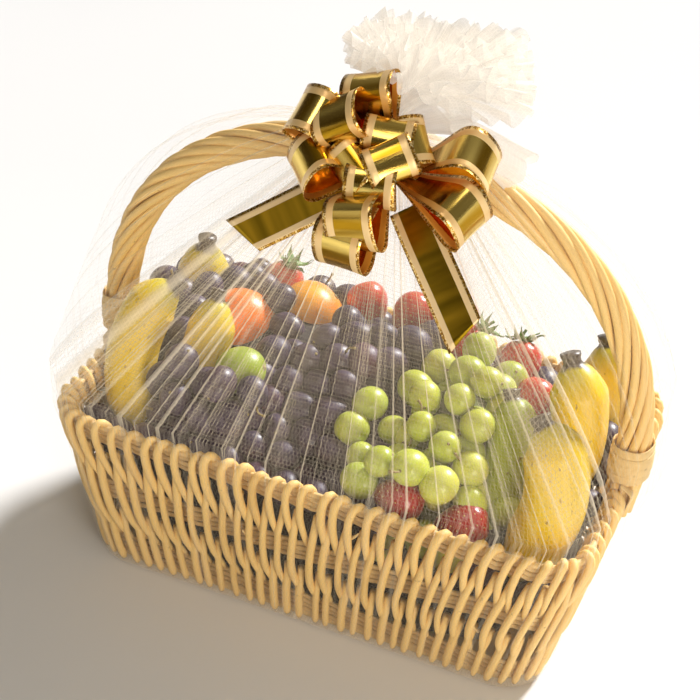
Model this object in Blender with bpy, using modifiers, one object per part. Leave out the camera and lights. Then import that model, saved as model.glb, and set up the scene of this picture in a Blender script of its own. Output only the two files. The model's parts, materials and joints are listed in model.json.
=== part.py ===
"""Fruit gift basket: a flared wicker basket with a twisted arch handle, filled with fruit and wrapped
in a gathered net that is tied above the handle with a gold ribbon bow.

Metres, +Z up. X runs along the basket and -Y is its front. The origin is the middle of the base.
"""

import math
import random

import bmesh
import bpy
from mathutils import Matrix, Vector

RIM_LENGTH = 0.366
RIM_WIDTH = 0.220
RIM_HEIGHT = 0.128
RIM_CORNER = 0.034
BASE_LENGTH = 0.314
BASE_WIDTH = 0.172
BASE_CORNER = 0.028
BASE_THICKNESS = 0.009
WALL_THICKNESS = 0.006
RIB_COUNT = 26
RIB_DEPTH = 0.0018
RIM_ROD = 0.0042

HANDLE_HALF_SPAN = 0.186
HANDLE_FOOT_TUCK = 0.008
HANDLE_TOP = 0.312
HANDLE_Y = -0.004
HANDLE_RADIUS = 0.011
HANDLE_ROUNDNESS = 0.883
HANDLE_RODS = 6
HANDLE_TURNS = 2.8
BINDING_HEIGHT = 0.032
BINDING_WALL = 0.0026

NET_THICKNESS = 0.0012
NET_REACH = 0.0035
NET_END_REACH = HANDLE_HALF_SPAN + HANDLE_RADIUS + 0.0046
NET_ROUNDNESS = 0.70
NET_END_BULGE = 0.07
NET_PLEATS = 18
NET_PLEAT_DEPTH = 0.0022
NECK_RADIUS = 0.009
NECK_BOTTOM = 0.3275
NECK_TOP = 0.3355
RUFF_RADIUS = 0.062
RUFF_FRONT = 0.42
RUFF_FLUTES = 12
RUFF_RISE = Vector((0.022, 0.018, 0.058))
RUFF_LEAN = Vector((0.50, 0.05, 1.0)).normalized()

RIBBON_WIDTH = 0.025
RIBBON_THICKNESS = 0.0012
BOW_CENTRE = Vector((0.004, -0.032, 0.330))
BOW_AZIMUTH = math.radians(10)
BOW_ELEVATION = math.radians(40)
KNOT_RADIUS = 0.009

GAP = 0.0003
CORE_GAP = 0.0005

# Half length and radius of a grape, and how near two of them may stand, in radii.
GRAPE_DARK = (0.0135, 0.0116)
GRAPE_GREEN = (0.0118, 0.0112)
GRAPE_PITCH = 1.84
GRAPE_DARTS = 1500
GRAPE_ROOM = 0.002
GRAPE_CROSSING = 0.60
DARK_SIDES = (5, 4)
GREEN_SIDES = (5, 4)

# Each loop of the bow: clock angle in degrees (0 is right, 90 is up), tilt forward in degrees, length.
BOW_LOOPS = (
    (104, 54, 0.047),
    (146, 36, 0.058),
    (163, 48, 0.046),
    (188, 30, 0.048),
    (95, 72, 0.034),
    (280, 80, 0.038),
    (238, 58, 0.040),
    (246, 22, 0.056),
    (322, 26, 0.060),
    (2, 36, 0.052),
)

# Each banana: its thickest radius, then four points of its middle line, its showing tip first.
BANANAS = {
    "banana_left_upright": (
        0.0185,
        (
            (-0.143, 0.052, 0.181),
            (-0.144, 0.050, 0.150),
            (-0.138, 0.046, 0.110),
            (-0.122, 0.044, 0.070),
        ),
    ),
    "banana_left_front": (
        0.0175,
        (
            (-0.127, -0.020, 0.191),
            (-0.144, -0.034, 0.170),
            (-0.148, -0.051, 0.135),
            (-0.134, -0.063, 0.085),
        ),
    ),
    "banana_left_inner": (
        0.0160,
        (
            (-0.106, -0.008, 0.184),
            (-0.105, -0.022, 0.158),
            (-0.107, -0.037, 0.125),
            (-0.100, -0.046, 0.080),
        ),
    ),
    "banana_right_front": (
        0.0205,
        (
            (0.126, -0.050, 0.190),
            (0.142, -0.058, 0.168),
            (0.146, -0.064, 0.130),
            (0.128, -0.064, 0.075),
        ),
    ),
    "banana_right_green": (
        0.0165,
        (
            (0.098, -0.012, 0.176),
            (0.105, -0.022, 0.155),
            (0.108, -0.035, 0.120),
            (0.100, -0.045, 0.075),
        ),
    ),
    "banana_right_middle": (
        0.0190,
        (
            (0.126, 0.012, 0.198),
            (0.138, 0.006, 0.170),
            (0.141, 0.002, 0.130),
            (0.126, 0.000, 0.080),
        ),
    ),
    "banana_right_rear": (
        0.0180,
        (
            (0.138, 0.064, 0.184),
            (0.145, 0.057, 0.160),
            (0.141, 0.052, 0.120),
            (0.122, 0.050, 0.080),
        ),
    ),
}

BANANA_STEPS = 10

# Each round fruit: its centre and its half sizes.
ROUND_FRUIT = {
    "orange": ((-0.101, 0.019, 0.141), (0.0255, 0.0255, 0.025)),
    "mango": ((-0.063, 0.053, 0.142), (0.025, 0.022, 0.024)),
    "lime": ((-0.071, -0.048, 0.156), (0.0165, 0.0170, 0.0145)),
}

# Each strawberry: its centre and the direction from its tip to its leaves.
STRAWBERRIES = {
    "strawberry_1": ((-0.097, 0.079, 0.141), (0.3, 0.2, 1.0)),
    "strawberry_2": ((-0.030, 0.075, 0.147), (-0.5, 0.4, 0.7)),
    "strawberry_3": ((0.004, 0.066, 0.155), (0.2, 0.9, 0.3)),
    "strawberry_4": ((0.034, 0.078, 0.152), (-0.3, 0.8, 0.5)),
    "strawberry_5": ((0.052, 0.046, 0.155), (0.4, 0.5, 0.8)),
    "strawberry_6": ((0.085, 0.061, 0.144), (-0.2, 0.6, 0.8)),
    "strawberry_7": ((0.104, 0.030, 0.140), (0.2, 0.8, 0.5)),
    "strawberry_8": ((0.053, -0.081, 0.121), (0.9, -0.1, 0.1)),
    "strawberry_9": ((0.096, -0.081, 0.117), (0.9, 0.2, 0.2)),
}
STRAWBERRY_LENGTH = 0.036
STRAWBERRY_RADIUS = 0.0160
LEAFED = ("strawberry_1", "strawberry_5", "strawberry_6")

# Each heap of grapes: centre and half sizes in plan, and how squarely it fills them.
HEAPS = {
    "grapes_dark": ((0.0, 0.0), (0.158, 0.088), 5.0),
    "grapes_green": ((0.068, -0.032), (0.040, 0.056), 2.4),
}
DARK_FRONT, DARK_RISE, DARK_CREST_Y, DARK_STEP = 0.116, 0.046, 0.030, 0.020
GREEN_EDGE, GREEN_CROWN, GREEN_SLOPE = 0.112, 0.158, 0.42
HEAP_WAIST = 0.085
GREEN_FOOT = 0.080


def clear_scene():
    for obj in list(bpy.data.objects):
        bpy.data.objects.remove(obj, do_unlink=True)


def collection_named(name):
    made = bpy.data.collections.new(name)
    bpy.context.scene.collection.children.link(made)
    return made


def material(name, colour, roughness, metallic=0.0, alpha=1.0):
    made = bpy.data.materials.new(name)
    made.use_nodes = True
    shader = made.node_tree.nodes["Principled BSDF"]
    shader.inputs["Base Color"].default_value = (*colour, 1.0)
    shader.inputs["Roughness"].default_value = roughness
    shader.inputs["Metallic"].default_value = metallic
    shader.inputs["Alpha"].default_value = alpha
    return made


def outline(length, width, corner, share):
    """Point of a rounded rectangle and its outward direction, this share of the way round from the front."""
    side, end = length / 2 - corner, width / 2 - corner
    arc = corner * math.pi / 2
    left = (share % 1.0) * (4 * side + 4 * end + 4 * arc)
    steps = ((side, 0), (2 * end, 1), (2 * side, 2), (2 * end, 3), (side, 4))
    start = Vector((0.0, -width / 2))
    for reach, quarter in steps:
        turn = math.pi / 2 * quarter
        along = Vector((math.cos(turn), math.sin(turn)))
        if left <= reach or quarter == 4:
            return start + along * left, Vector((along.y, -along.x))
        left -= reach
        start = start + along * reach
        centre = start + Vector((-along.y, along.x)) * corner
        if left <= arc:
            angle = turn - math.pi / 2 + left / corner
            out = Vector((math.cos(angle), math.sin(angle)))
            return centre + out * corner, out
        left -= arc
        angle = turn
        start = centre + Vector((math.cos(angle), math.sin(angle))) * corner


def wall_point(share, height):
    """Point on the outer face of the basket and its outward direction, at this height."""
    low, low_out = outline(BASE_LENGTH, BASE_WIDTH, BASE_CORNER, share)
    high, high_out = outline(RIM_LENGTH, RIM_WIDTH, RIM_CORNER, share)
    rise = height / RIM_HEIGHT
    return low.lerp(high, rise), low_out.lerp(high_out, rise).normalized()


def mesh_object(name, points, faces, where, finish, smooth=True):
    mesh = bpy.data.meshes.new(name)
    mesh.from_pydata([tuple(point) for point in points], [], faces)
    mesh.validate()
    obj = bpy.data.objects.new(name, mesh)
    where.objects.link(obj)
    if finish:
        mesh.materials.append(finish)
    if smooth:
        mesh.shade_smooth()
    return obj


def grid_faces(rows, columns, round_columns=True, round_rows=False):
    """Quads between rows of points, each row holding the same number of columns."""
    across = columns if round_columns else columns - 1
    down = rows if round_rows else rows - 1
    faces = []
    for row in range(down):
        for column in range(across):
            a = row * columns + column
            b = row * columns + (column + 1) % columns
            c = ((row + 1) % rows) * columns + (column + 1) % columns
            d = ((row + 1) % rows) * columns + column
            faces.append((a, b, c, d))
    return faces


def solidify(obj, thickness, offset):
    modifier = obj.modifiers.new("Thickness", "SOLIDIFY")
    modifier.thickness = thickness
    modifier.offset = offset
    modifier.use_even_offset = False


def face_outward(obj):
    shape = bmesh.new()
    shape.from_mesh(obj.data)
    bmesh.ops.recalc_face_normals(shape, faces=shape.faces)
    shape.to_mesh(obj.data)
    shape.free()


def evaluated_copy(obj, name, where):
    """A plain mesh object of what the modifiers or the curve make, which then replaces the first."""
    graph = bpy.context.evaluated_depsgraph_get()
    mesh = bpy.data.meshes.new_from_object(obj.evaluated_get(graph))
    shape = bmesh.new()
    shape.from_mesh(mesh)
    bmesh.ops.remove_doubles(shape, verts=shape.verts, dist=0.000002)
    shape.to_mesh(mesh)
    shape.free()
    made = bpy.data.objects.new(name, mesh)
    made.matrix_world = obj.matrix_world
    where.objects.link(made)
    bpy.data.objects.remove(obj, do_unlink=True)
    made.name = name
    return made


def basket_base(parts, wicker):
    """The woven board under the basket."""
    columns = 2 * RIB_COUNT
    points = [outline(BASE_LENGTH, BASE_WIDTH, BASE_CORNER, k / columns)[0] for k in range(columns)]
    mesh_points = [(p.x, p.y, 0.0) for p in points]
    board = mesh_object("basket_base", mesh_points, [tuple(range(columns))], parts, wicker, smooth=False)
    solidify(board, BASE_THICKNESS, 1.0)


def basket_wall(parts, wicker):
    """The flared wall: upright ribs between a woven band at the foot, one half way up and one at the top."""
    columns = 2 * RIB_COUNT
    foot, top = BASE_THICKNESS + GAP, RIM_HEIGHT - 2 * RIM_ROD - 0.0020
    bands = (0.0, 0.13, 0.31, 0.50, 0.78, 1.0)
    ribbed = (2, 4)
    points = []
    for row, share in enumerate(bands):
        height = foot + (top - foot) * share
        for column in range(columns):
            at, out = wall_point(column / columns, height)
            if row in ribbed:
                at = at + out * (RIB_DEPTH if column % 2 else -RIB_DEPTH / 2)
            points.append((at.x, at.y, height))
    wall = mesh_object("basket_wall", points, grid_faces(len(bands), columns), parts, wicker)
    solidify(wall, WALL_THICKNESS, -1.0)


def basket_rim(parts, wicker):
    """The border of the wall, a thick rod made of the stakes folded over, loop by loop."""
    columns, sides = 2 * RIB_COUNT, 5
    middle = RIM_HEIGHT - RIM_ROD
    points = []
    for side in range(sides):
        angle = 2 * math.pi * (side + 0.5) / sides
        for column in range(columns):
            at, out = wall_point(column / columns, RIM_HEIGHT)
            radius = RIM_ROD * (1.2 if column % 2 else 0.86)
            at = at - out * (WALL_THICKNESS / 2 - math.cos(angle) * radius)
            height = middle + math.sin(angle) * radius
            height = min(RIM_HEIGHT, max(height, RIM_HEIGHT - 2 * RIM_ROD))
            points.append((at.x, at.y, height))
    rim = mesh_object("basket_rim", points, grid_faces(sides, columns, round_rows=True), parts, wicker)
    face_outward(rim)


def arch_point(angle):
    """Point of the handle's arch: 0 is its left foot and pi its right foot."""
    across, up = math.cos(angle), max(math.sin(angle), 0.0)
    reach = HANDLE_HALF_SPAN * abs(across) ** HANDLE_ROUNDNESS - HANDLE_FOOT_TUCK * (1 - up) ** 2
    foot = RIM_HEIGHT + GAP
    height = foot + (HANDLE_TOP - foot) * up**HANDLE_ROUNDNESS
    return Vector((-math.copysign(reach, across), HANDLE_Y, height))


def handle(parts, guides, wicker):
    """The arch of willow rods twisted together."""
    profile = bpy.data.curves.new("handle_section", "CURVE")
    ring = profile.splines.new("POLY")
    count = 2 * HANDLE_RODS
    ring.points.add(count - 1)
    for k, point in enumerate(ring.points):
        radius = HANDLE_RADIUS * (1.0 if k % 2 else 0.84)
        angle = -2 * math.pi * k / count
        point.co = (radius * math.cos(angle), radius * math.sin(angle), 0.0, 1.0)
    ring.use_cyclic_u = True
    section = bpy.data.objects.new("handle_section", profile)
    section.hide_render = True
    section.display_type = "WIRE"
    guides.objects.link(section)

    curve = bpy.data.curves.new("handle", "CURVE")
    curve.dimensions = "3D"
    curve.bevel_mode = "OBJECT"
    curve.bevel_object = section
    curve.use_fill_caps = True
    steps = 36
    spline = curve.splines.new("POLY")
    spline.points.add(steps)
    for k, point in enumerate(spline.points):
        share = k / steps
        point.co = (*arch_point(math.pi * share), 1.0)
        point.tilt = 2 * math.pi * HANDLE_TURNS * share
    obj = bpy.data.objects.new("handle", curve)
    curve.materials.append(wicker)
    parts.objects.link(obj)


def handle_binding(name, side, parts, wicker):
    """The flat cane wrapped round a foot of the handle."""
    low, high = RIM_HEIGHT + 0.001, RIM_HEIGHT + 0.001 + BINDING_HEIGHT
    inner = HANDLE_RADIUS + 0.0008
    outer = inner + BINDING_WALL
    edge = outer - 0.3 * BINDING_WALL
    profile = ((inner, 0.0), (edge, 0.0), (outer, 0.5), (edge, 1.0), (inner, 1.0))
    sides = 14
    points = []
    for radius, share in profile:
        height = low + (high - low) * share
        rise = (height - RIM_HEIGHT - GAP) / (HANDLE_TOP - RIM_HEIGHT - GAP)
        leg = arch_point(math.asin(rise ** (1 / HANDLE_ROUNDNESS)))
        for k in range(sides):
            angle = 2 * math.pi * k / sides
            x = side * abs(leg.x) + radius * math.cos(angle)
            points.append((x, HANDLE_Y + radius * math.sin(angle), height))
    binding = mesh_object(name, points, grid_faces(len(profile), sides, round_rows=True), parts, wicker)
    face_outward(binding)


def net_height(x, y):
    """Height of the taut net over the handle's arch and the rim, at a point in plan."""
    reach = RIM_WIDTH / 2 + NET_REACH
    half_span = NET_END_REACH
    crown = HANDLE_TOP + HANDLE_RADIUS + 0.002
    flat = HANDLE_RADIUS + 0.002
    away = y - HANDLE_Y
    span = reach + math.copysign(HANDLE_Y, -away) if away < 0 else reach - HANDLE_Y
    fall = min(max((abs(away) - flat) / (span - flat), 0.0), 1.0)
    if fall > 0.999:
        return RIM_HEIGHT
    slack = fall * (half_span - RIM_CORNER / 2)
    on_arch = min(max(0.0, (x - slack) / (1 - fall)), (x + slack) / (1 - fall))
    share = min(abs(on_arch) / half_span, 1.0) ** (1 / NET_ROUNDNESS)
    arch = RIM_HEIGHT + (crown - RIM_HEIGHT) * math.sqrt(1 - share * share) ** NET_ROUNDNESS
    return (1 - fall) * arch + fall * RIM_HEIGHT


def net(parts, finish):
    """The net, a thin pleated tent from its neck over handle and fruit down round the rim."""
    columns = 2 * NET_PLEATS
    rows = (0.25, 0.52, 0.76, 0.92, 0.98, 1.0)
    points = []
    for radius, height in ((NECK_RADIUS, NECK_TOP), (NECK_RADIUS, NECK_BOTTOM)):
        for column in range(columns):
            at, _ = outline(RIM_LENGTH, RIM_WIDTH, RIM_CORNER, column / columns)
            aim = at.normalized() * radius
            points.append((aim.x, aim.y + HANDLE_Y, height))
    length, width = RIM_LENGTH + 2 * NET_REACH, RIM_WIDTH + 2 * NET_REACH
    for share in rows:
        for column in range(columns):
            at, out = outline(length, width, RIM_CORNER, column / columns)
            at.x *= 1 + (2 * NET_END_REACH / length - 1) * max(0.0, 1 - abs(at.y - HANDLE_Y) / NET_END_BULGE)
            at = at * share + Vector((0.0, HANDLE_Y)) * (1 - share)
            height = net_height(at.x, at.y)
            fold = NET_PLEAT_DEPTH * math.sin(math.pi * share) * (column % 2)
            at = at + out * fold
            points.append((at.x, at.y, height + fold))
    points += [(x, y, min(z, RIM_HEIGHT + 0.002)) for x, y, z in points[-columns:]]
    for column in range(columns):
        at, _ = outline(length, width, RIM_CORNER, column / columns)
        points.append((at.x, at.y, RIM_HEIGHT - 2 * RIM_ROD))
    tent = mesh_object("net", points, grid_faces(len(rows) + 4, columns), parts, finish)
    face_outward(tent)
    solidify(tent, NET_THICKNESS, 1.0)


def net_ruff(parts, finish):
    """The frilled puff of net above the tie."""
    columns = 2 * RUFF_FLUTES
    foot = Vector((0.0, HANDLE_Y, NECK_TOP + GAP))
    profile = (
        (0.17, 0.00, 0.0),
        (0.22, 0.08, 0.2),
        (0.62, 0.18, 0.8),
        (0.92, 0.34, 1.0),
        (1.00, 0.55, 1.0),
        (0.88, 0.80, 1.0),
        (0.60, 1.00, 0.8),
        (0.28, 0.86, 0.5),
    )
    upright = Matrix.Identity(3)
    leaning = Vector((0.0, 0.0, 1.0)).rotation_difference(RUFF_LEAN).to_matrix()
    points = []
    for radius, rise, frill in profile:
        turned = upright.lerp(leaning, min(1.0, rise * 3))
        for column in range(columns):
            angle = 2 * math.pi * column / columns
            wave = 1 + frill * (0.10 if column % 2 else -0.10) + 0.06 * frill * math.sin(3 * angle + 1.0)
            ring = Vector((math.cos(angle), math.sin(angle), 0.0)) * (RUFF_RADIUS * radius * wave)
            ring.y *= RUFF_FRONT if ring.y < 0 and rise > 0.1 else 1.0
            points.append(foot + RUFF_RISE * rise + turned @ ring)
    faces = grid_faces(len(profile), columns)
    faces.append(tuple(reversed(range(columns))))
    faces.append(tuple(range((len(profile) - 1) * columns, len(profile) * columns)))
    ruff = mesh_object("net_ruff", points, faces, parts, finish)
    face_outward(ruff)


def bow_axes():
    """The bow's own right, up and forward directions: it faces the front and upward."""
    a, e = BOW_AZIMUTH, BOW_ELEVATION
    right = Vector((math.cos(a), math.sin(a), 0.0))
    up = Vector((-math.sin(a) * math.sin(e), math.cos(a) * math.sin(e), math.cos(e)))
    forward = Vector((math.sin(a) * math.cos(e), -math.cos(a) * math.cos(e), math.sin(e)))
    return right, up, forward


def bow_loop(clock, tilt, length, where):
    """One loop of ribbon: a band that leaves the knot, turns round and comes back to it."""
    right, up, forward = bow_axes()
    clock, tilt = math.radians(clock), math.radians(tilt)
    flat = right * math.cos(clock) + up * math.sin(clock)
    ahead = flat * math.cos(tilt) + forward * math.sin(tilt)
    rise = forward * math.cos(tilt) - flat * math.sin(tilt)
    across = ahead.cross(rise)
    steps = 8
    points = []
    for k in range(steps):
        share = 0.01 + 0.98 * k / (steps - 1)
        out = math.sin(math.pi * share) ** 0.75
        belly = 0.30 * length * math.sin(2 * math.pi * share) * out
        middle = BOW_CENTRE + ahead * (length * out) - rise * belly
        half = RIBBON_WIDTH / 2 * (0.24 + 0.76 * min(1.0, out * 1.25))
        points += [middle - across * half, middle + across * half]
    loop = mesh_object("loop", points, grid_faces(steps, 2, round_columns=False), where, None)
    solidify(loop, RIBBON_THICKNESS, 0.0)
    return loop


def joined(name, core, others, parts, finish, operation="UNION", solver="EXACT"):
    """The core with the other collection's objects joined to it or cut from it, as one plain mesh."""
    modifier = core.modifiers.new("Join", "BOOLEAN")
    modifier.operation = operation
    modifier.solver = solver
    modifier.operand_type = "COLLECTION"
    modifier.collection = others
    made = evaluated_copy(core, name, parts)
    for obj in list(others.objects):
        bpy.data.objects.remove(obj, do_unlink=True)
    made.data.materials.clear()
    if finish:
        made.data.materials.append(finish)
    made.data.shade_smooth()
    return made


def drop_scraps(obj):
    """Keeps the largest connected surface of a mesh: loose scraps go, and sealed hollows are filled."""
    shape = bmesh.new()
    shape.from_mesh(obj.data)
    unseen = set(shape.faces)
    bodies = []
    while unseen:
        queue = [unseen.pop()]
        body = list(queue)
        while queue:
            for edge in queue.pop().edges:
                for face in edge.link_faces:
                    if face in unseen:
                        unseen.remove(face)
                        queue.append(face)
                        body.append(face)
        bodies.append(body)
    bodies.sort(key=len)
    scraps = [face for body in bodies[:-1] for face in body]
    bmesh.ops.delete(shape, geom=scraps, context="FACES")
    shape.to_mesh(obj.data)
    shape.free()


def ribbon_bow(parts, cutters, finish):
    """Ten loops and the ribbon round the neck of the net, all held by one knot."""
    shape = bmesh.new()
    bmesh.ops.create_uvsphere(shape, u_segments=8, v_segments=5, radius=KNOT_RADIUS)
    bmesh.ops.translate(shape, verts=shape.verts, vec=BOW_CENTRE)
    mesh = bpy.data.meshes.new("knot")
    shape.to_mesh(mesh)
    shape.free()
    knot = bpy.data.objects.new("knot", mesh)
    cutters.objects.link(knot)
    pieces = collection_named("bow_pieces")
    for clock, tilt, length in BOW_LOOPS:
        loop = bow_loop(clock, tilt, length, pieces)
        evaluated_copy(loop, "bow_loop", pieces)
    neck_ribbon(pieces)
    drop_scraps(joined("ribbon_bow", knot, pieces, parts, finish))
    bpy.data.collections.remove(pieces)


def neck_ribbon(where):
    """The band round the neck, with a short tongue forward to the knot."""
    inner, outer = NECK_RADIUS + NET_THICKNESS + GAP, NECK_RADIUS + NET_THICKNESS + 0.0022
    low, high = NECK_BOTTOM + 0.0012, NECK_TOP - 0.0008
    sides = 20
    points = []
    for radius, height in ((inner, low), (outer, low), (outer, high), (inner, high)):
        for k in range(sides):
            angle = 2 * math.pi * k / sides
            points.append((radius * math.cos(angle), HANDLE_Y + radius * math.sin(angle), height))
    band = mesh_object("neck_band", points, grid_faces(4, sides, round_rows=True), where, None)
    face_outward(band)
    root = Vector((0.0, HANDLE_Y - (inner + outer) / 2, (low + high) / 2))
    along = BOW_CENTRE - root
    shape = bmesh.new()
    bmesh.ops.create_cone(
        shape, cap_ends=True, segments=8, radius1=0.0035, radius2=0.0045, depth=along.length
    )
    turn = along.to_track_quat("Z", "Y").to_matrix().to_4x4()
    bmesh.ops.transform(shape, verts=shape.verts, matrix=Matrix.Translation(root + along * 0.52) @ turn)
    mesh = bpy.data.meshes.new("tongue")
    shape.to_mesh(mesh)
    shape.free()
    where.objects.link(bpy.data.objects.new("tongue", mesh))


def ribbon_tail(name, start, end, parts, finish):
    """A flat tail of ribbon that lies on the sloping front of the net, its end cut on the slant."""
    lift = NET_THICKNESS + NET_PLEAT_DEPTH * 2 + 0.001
    slope = Vector((0.0, -0.010, net_height(0.0, -0.060) - net_height(0.0, -0.050))).normalized()
    normal = Vector((0.0, slope.z, -slope.y))
    ends = [Vector((x, y, net_height(x, y))) + normal * lift for x, y in (start, end)]
    along = (ends[1] - ends[0]).normalized()
    across = normal.cross(along).normalized() * (RIBBON_WIDTH / 2)
    steps = 8
    points = []
    for k in range(steps):
        share = k / (steps - 1)
        middle = ends[0].lerp(ends[1], share) + normal * (0.0015 * math.sin(math.pi * share))
        slant = along * (0.006 * share)
        points += [middle - across - slant, middle + across + slant]
    tail = mesh_object(name, points, grid_faces(steps, 2, round_columns=False), parts, finish)
    solidify(tail, RIBBON_THICKNESS, 0.0)


def smooth_path(points, count):
    """Points read from a smooth curve through a few given points."""
    ends = [2 * points[0] - points[1]] + list(points) + [2 * points[-1] - points[-2]]
    read = []
    for k in range(count):
        place = k / (count - 1) * (len(points) - 1)
        leg = min(int(place), len(points) - 2)
        t = place - leg
        a, b, c, d = ends[leg : leg + 4]
        bend = (2 * a - 5 * b + 4 * c - d) * t**2 + (3 * b - a - 3 * c + d) * t**3
        read.append(0.5 * (2 * b + (c - a) * t + bend))
    return read


def banana(name, grow, where, finish):
    """A banana: five blunt edges, a short blunt tip that shows and a tapering end below."""
    radius, path = BANANAS[name]
    middle = smooth_path([Vector(point) for point in path], BANANA_STEPS)
    if grow:
        middle[0] = middle[0] + (middle[0] - middle[1]).normalized() * grow
        middle[-1] = middle[-1] + (middle[-1] - middle[-2]).normalized() * grow
    curve = bpy.data.curves.new(name, "CURVE")
    curve.dimensions = "3D"
    curve.bevel_depth = 1.0
    curve.bevel_resolution = 1
    curve.use_fill_caps = True
    spline = curve.splines.new("POLY")
    spline.points.add(len(middle) - 1)
    for k, point in enumerate(spline.points):
        share = k / (len(middle) - 1)
        swell = min(1.0, 0.26 + 1.75 * share**0.62, 0.30 + 2.4 * (1 - share) ** 0.75)
        point.co = (*middle[k], 1.0)
        point.radius = radius * swell + grow
    obj = bpy.data.objects.new(name, curve)
    if finish:
        curve.materials.append(finish)
    where.objects.link(obj)
    return obj


def ball(name, centre, halves, turn, where, finish, segments=10, rings=6):
    shape = bmesh.new()
    bmesh.ops.create_uvsphere(shape, u_segments=segments, v_segments=rings, radius=1.0)
    place = Matrix.Translation(centre) @ turn.to_4x4() @ Matrix.Diagonal((*halves, 1.0))
    bmesh.ops.transform(shape, verts=shape.verts, matrix=place)
    mesh = bpy.data.meshes.new(name)
    shape.to_mesh(mesh)
    shape.free()
    obj = bpy.data.objects.new(name, mesh)
    if finish:
        mesh.materials.append(finish)
    mesh.shade_smooth()
    where.objects.link(obj)
    return obj


def round_fruit(name, grow, where, finish):
    centre, halves = ROUND_FRUIT[name]
    return ball(name, Vector(centre), [half + grow for half in halves], Matrix.Identity(3), where, finish)


def strawberry(name, grow, where, finish):
    """A strawberry: a blunt shoulder under the leaves and a rounded point at the other end."""
    centre, direction = STRAWBERRIES[name]
    turn = Vector(direction).normalized().to_track_quat("Z", "Y").to_matrix()
    shape = bmesh.new()
    bmesh.ops.create_uvsphere(shape, u_segments=7, v_segments=6, radius=1.0)
    for vert in shape.verts:
        taper = 0.86 + 0.26 * vert.co.z - 0.12 * vert.co.z**2
        vert.co.x *= (STRAWBERRY_RADIUS * taper) + grow
        vert.co.y *= (STRAWBERRY_RADIUS * taper) + grow
        vert.co.z *= STRAWBERRY_LENGTH / 2 + grow
    bmesh.ops.transform(shape, verts=shape.verts, matrix=Matrix.Translation(centre) @ turn.to_4x4())
    mesh = bpy.data.meshes.new(name)
    shape.to_mesh(mesh)
    shape.free()
    obj = bpy.data.objects.new(name, mesh)
    if finish:
        mesh.materials.append(finish)
    mesh.shade_smooth()
    where.objects.link(obj)
    return obj


def strawberry_leaves(berry, parts, finish):
    """The star of thin leaves on a strawberry."""
    centre, direction = STRAWBERRIES[berry]
    axis = Vector(direction).normalized()
    turn = axis.to_track_quat("Z", "Y").to_matrix()
    foot = Vector(centre) + axis * (STRAWBERRY_LENGTH / 2 + GAP)
    leaves = 6
    points = [foot + axis * 0.0004]
    for k in range(2 * leaves):
        angle = math.pi * k / leaves
        radius, lift = (0.0125, 0.0045) if k % 2 else (0.0035, 0.0010)
        lift += 0.0012 * math.sin(2 * angle)
        points.append(foot + turn @ Vector((radius * math.cos(angle), radius * math.sin(angle), lift)))
    faces = [(0, 1 + k, 1 + (k + 1) % (2 * leaves)) for k in range(2 * leaves)]
    star = mesh_object("leaves_of_" + berry, points, faces, parts, finish)
    face_outward(star)
    solidify(star, 0.0008, 1.0)


def heap_height(name, x, y):
    """Height of a heap's upper surface. The dark one rises to the back and steps down at its right."""
    (cx, cy), (half_x, half_y), square = HEAPS[name]
    reach = min(1.0, abs((x - cx) / half_x) ** square + abs((y - cy) / half_y) ** square)
    if name == "grapes_green":
        return GREEN_EDGE + (GREEN_CROWN - GREEN_EDGE) * (1 - reach) ** 0.6 + GREEN_SLOPE * (y - cy)
    climb = min(1.0, max(0.0, (y + half_y) / (DARK_CREST_Y + half_y)))
    rise = DARK_RISE * climb * climb * (3 - 2 * climb) - 0.25 * max(0.0, y - DARK_CREST_Y)
    step = DARK_STEP * min(1.0, max(0.0, (x - 0.02) / 0.03))
    return DARK_FRONT + rise - step - 0.012 * reach


def heap_point(name, direction, sink=0.0):
    """Point of a heap's surface in this direction from its middle."""
    (cx, cy), (half_x, half_y), square = HEAPS[name]
    flat = math.hypot(direction.x, direction.y)
    floor = GREEN_FOOT if name == "grapes_green" else BASE_THICKNESS + 2 * GAP
    waist = max(HEAP_WAIST, floor + 0.02)
    across, along = direction.x / max(flat, 1e-6), direction.y / max(flat, 1e-6)
    edge = max(abs(across) ** square + abs(along) ** square, 0.01) ** (-1 / square)
    spread = edge * min(1.0, flat**0.55 * 1.06)
    if direction.z < -0.3:
        spread *= 0.86
    x, y = cx + (half_x - sink / 2) * across * spread, cy + (half_y - sink / 2) * along * spread
    if direction.z >= 0:
        return Vector((x, y, waist + (heap_height(name, x, y) - sink - waist) * min(1.0, 1.6 * direction.z)))
    return Vector((x, y, waist + (floor - waist) * min(1.0, -2.0 * direction.z)))


def heap_core(name, grow, where):
    """A mound a little smaller than the grapes on it. The dark one stands on the base board."""
    shape = bmesh.new()
    bmesh.ops.create_uvsphere(shape, u_segments=16, v_segments=8, radius=1.0)
    for vert in shape.verts:
        vert.co = heap_point(name, vert.co.copy(), 0.004)
    if grow:
        bmesh.ops.recalc_face_normals(shape, faces=shape.faces)
        shape.normal_update()
        for vert in shape.verts:
            vert.co += vert.normal * grow
    mesh = bpy.data.meshes.new(name + "_core")
    shape.to_mesh(mesh)
    shape.free()
    obj = bpy.data.objects.new(name + "_core", mesh)
    where.objects.link(obj)
    return obj


def in_fruit(point, margin):
    """Whether a point lies in one of the large fruit or nearer to it than the margin."""
    for radius, path in BANANAS.values():
        along = smooth_path([Vector(at) for at in path], BANANA_STEPS)
        if any((point - at).length < radius + margin for at in along):
            return True
    for centre, halves in ROUND_FRUIT.values():
        if (point - Vector(centre)).length < min(halves) + margin:
            return True
    centres = [Vector(centre) for centre, _ in STRAWBERRIES.values()]
    return any((point - centre).length < STRAWBERRY_RADIUS + margin for centre in centres)


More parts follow.
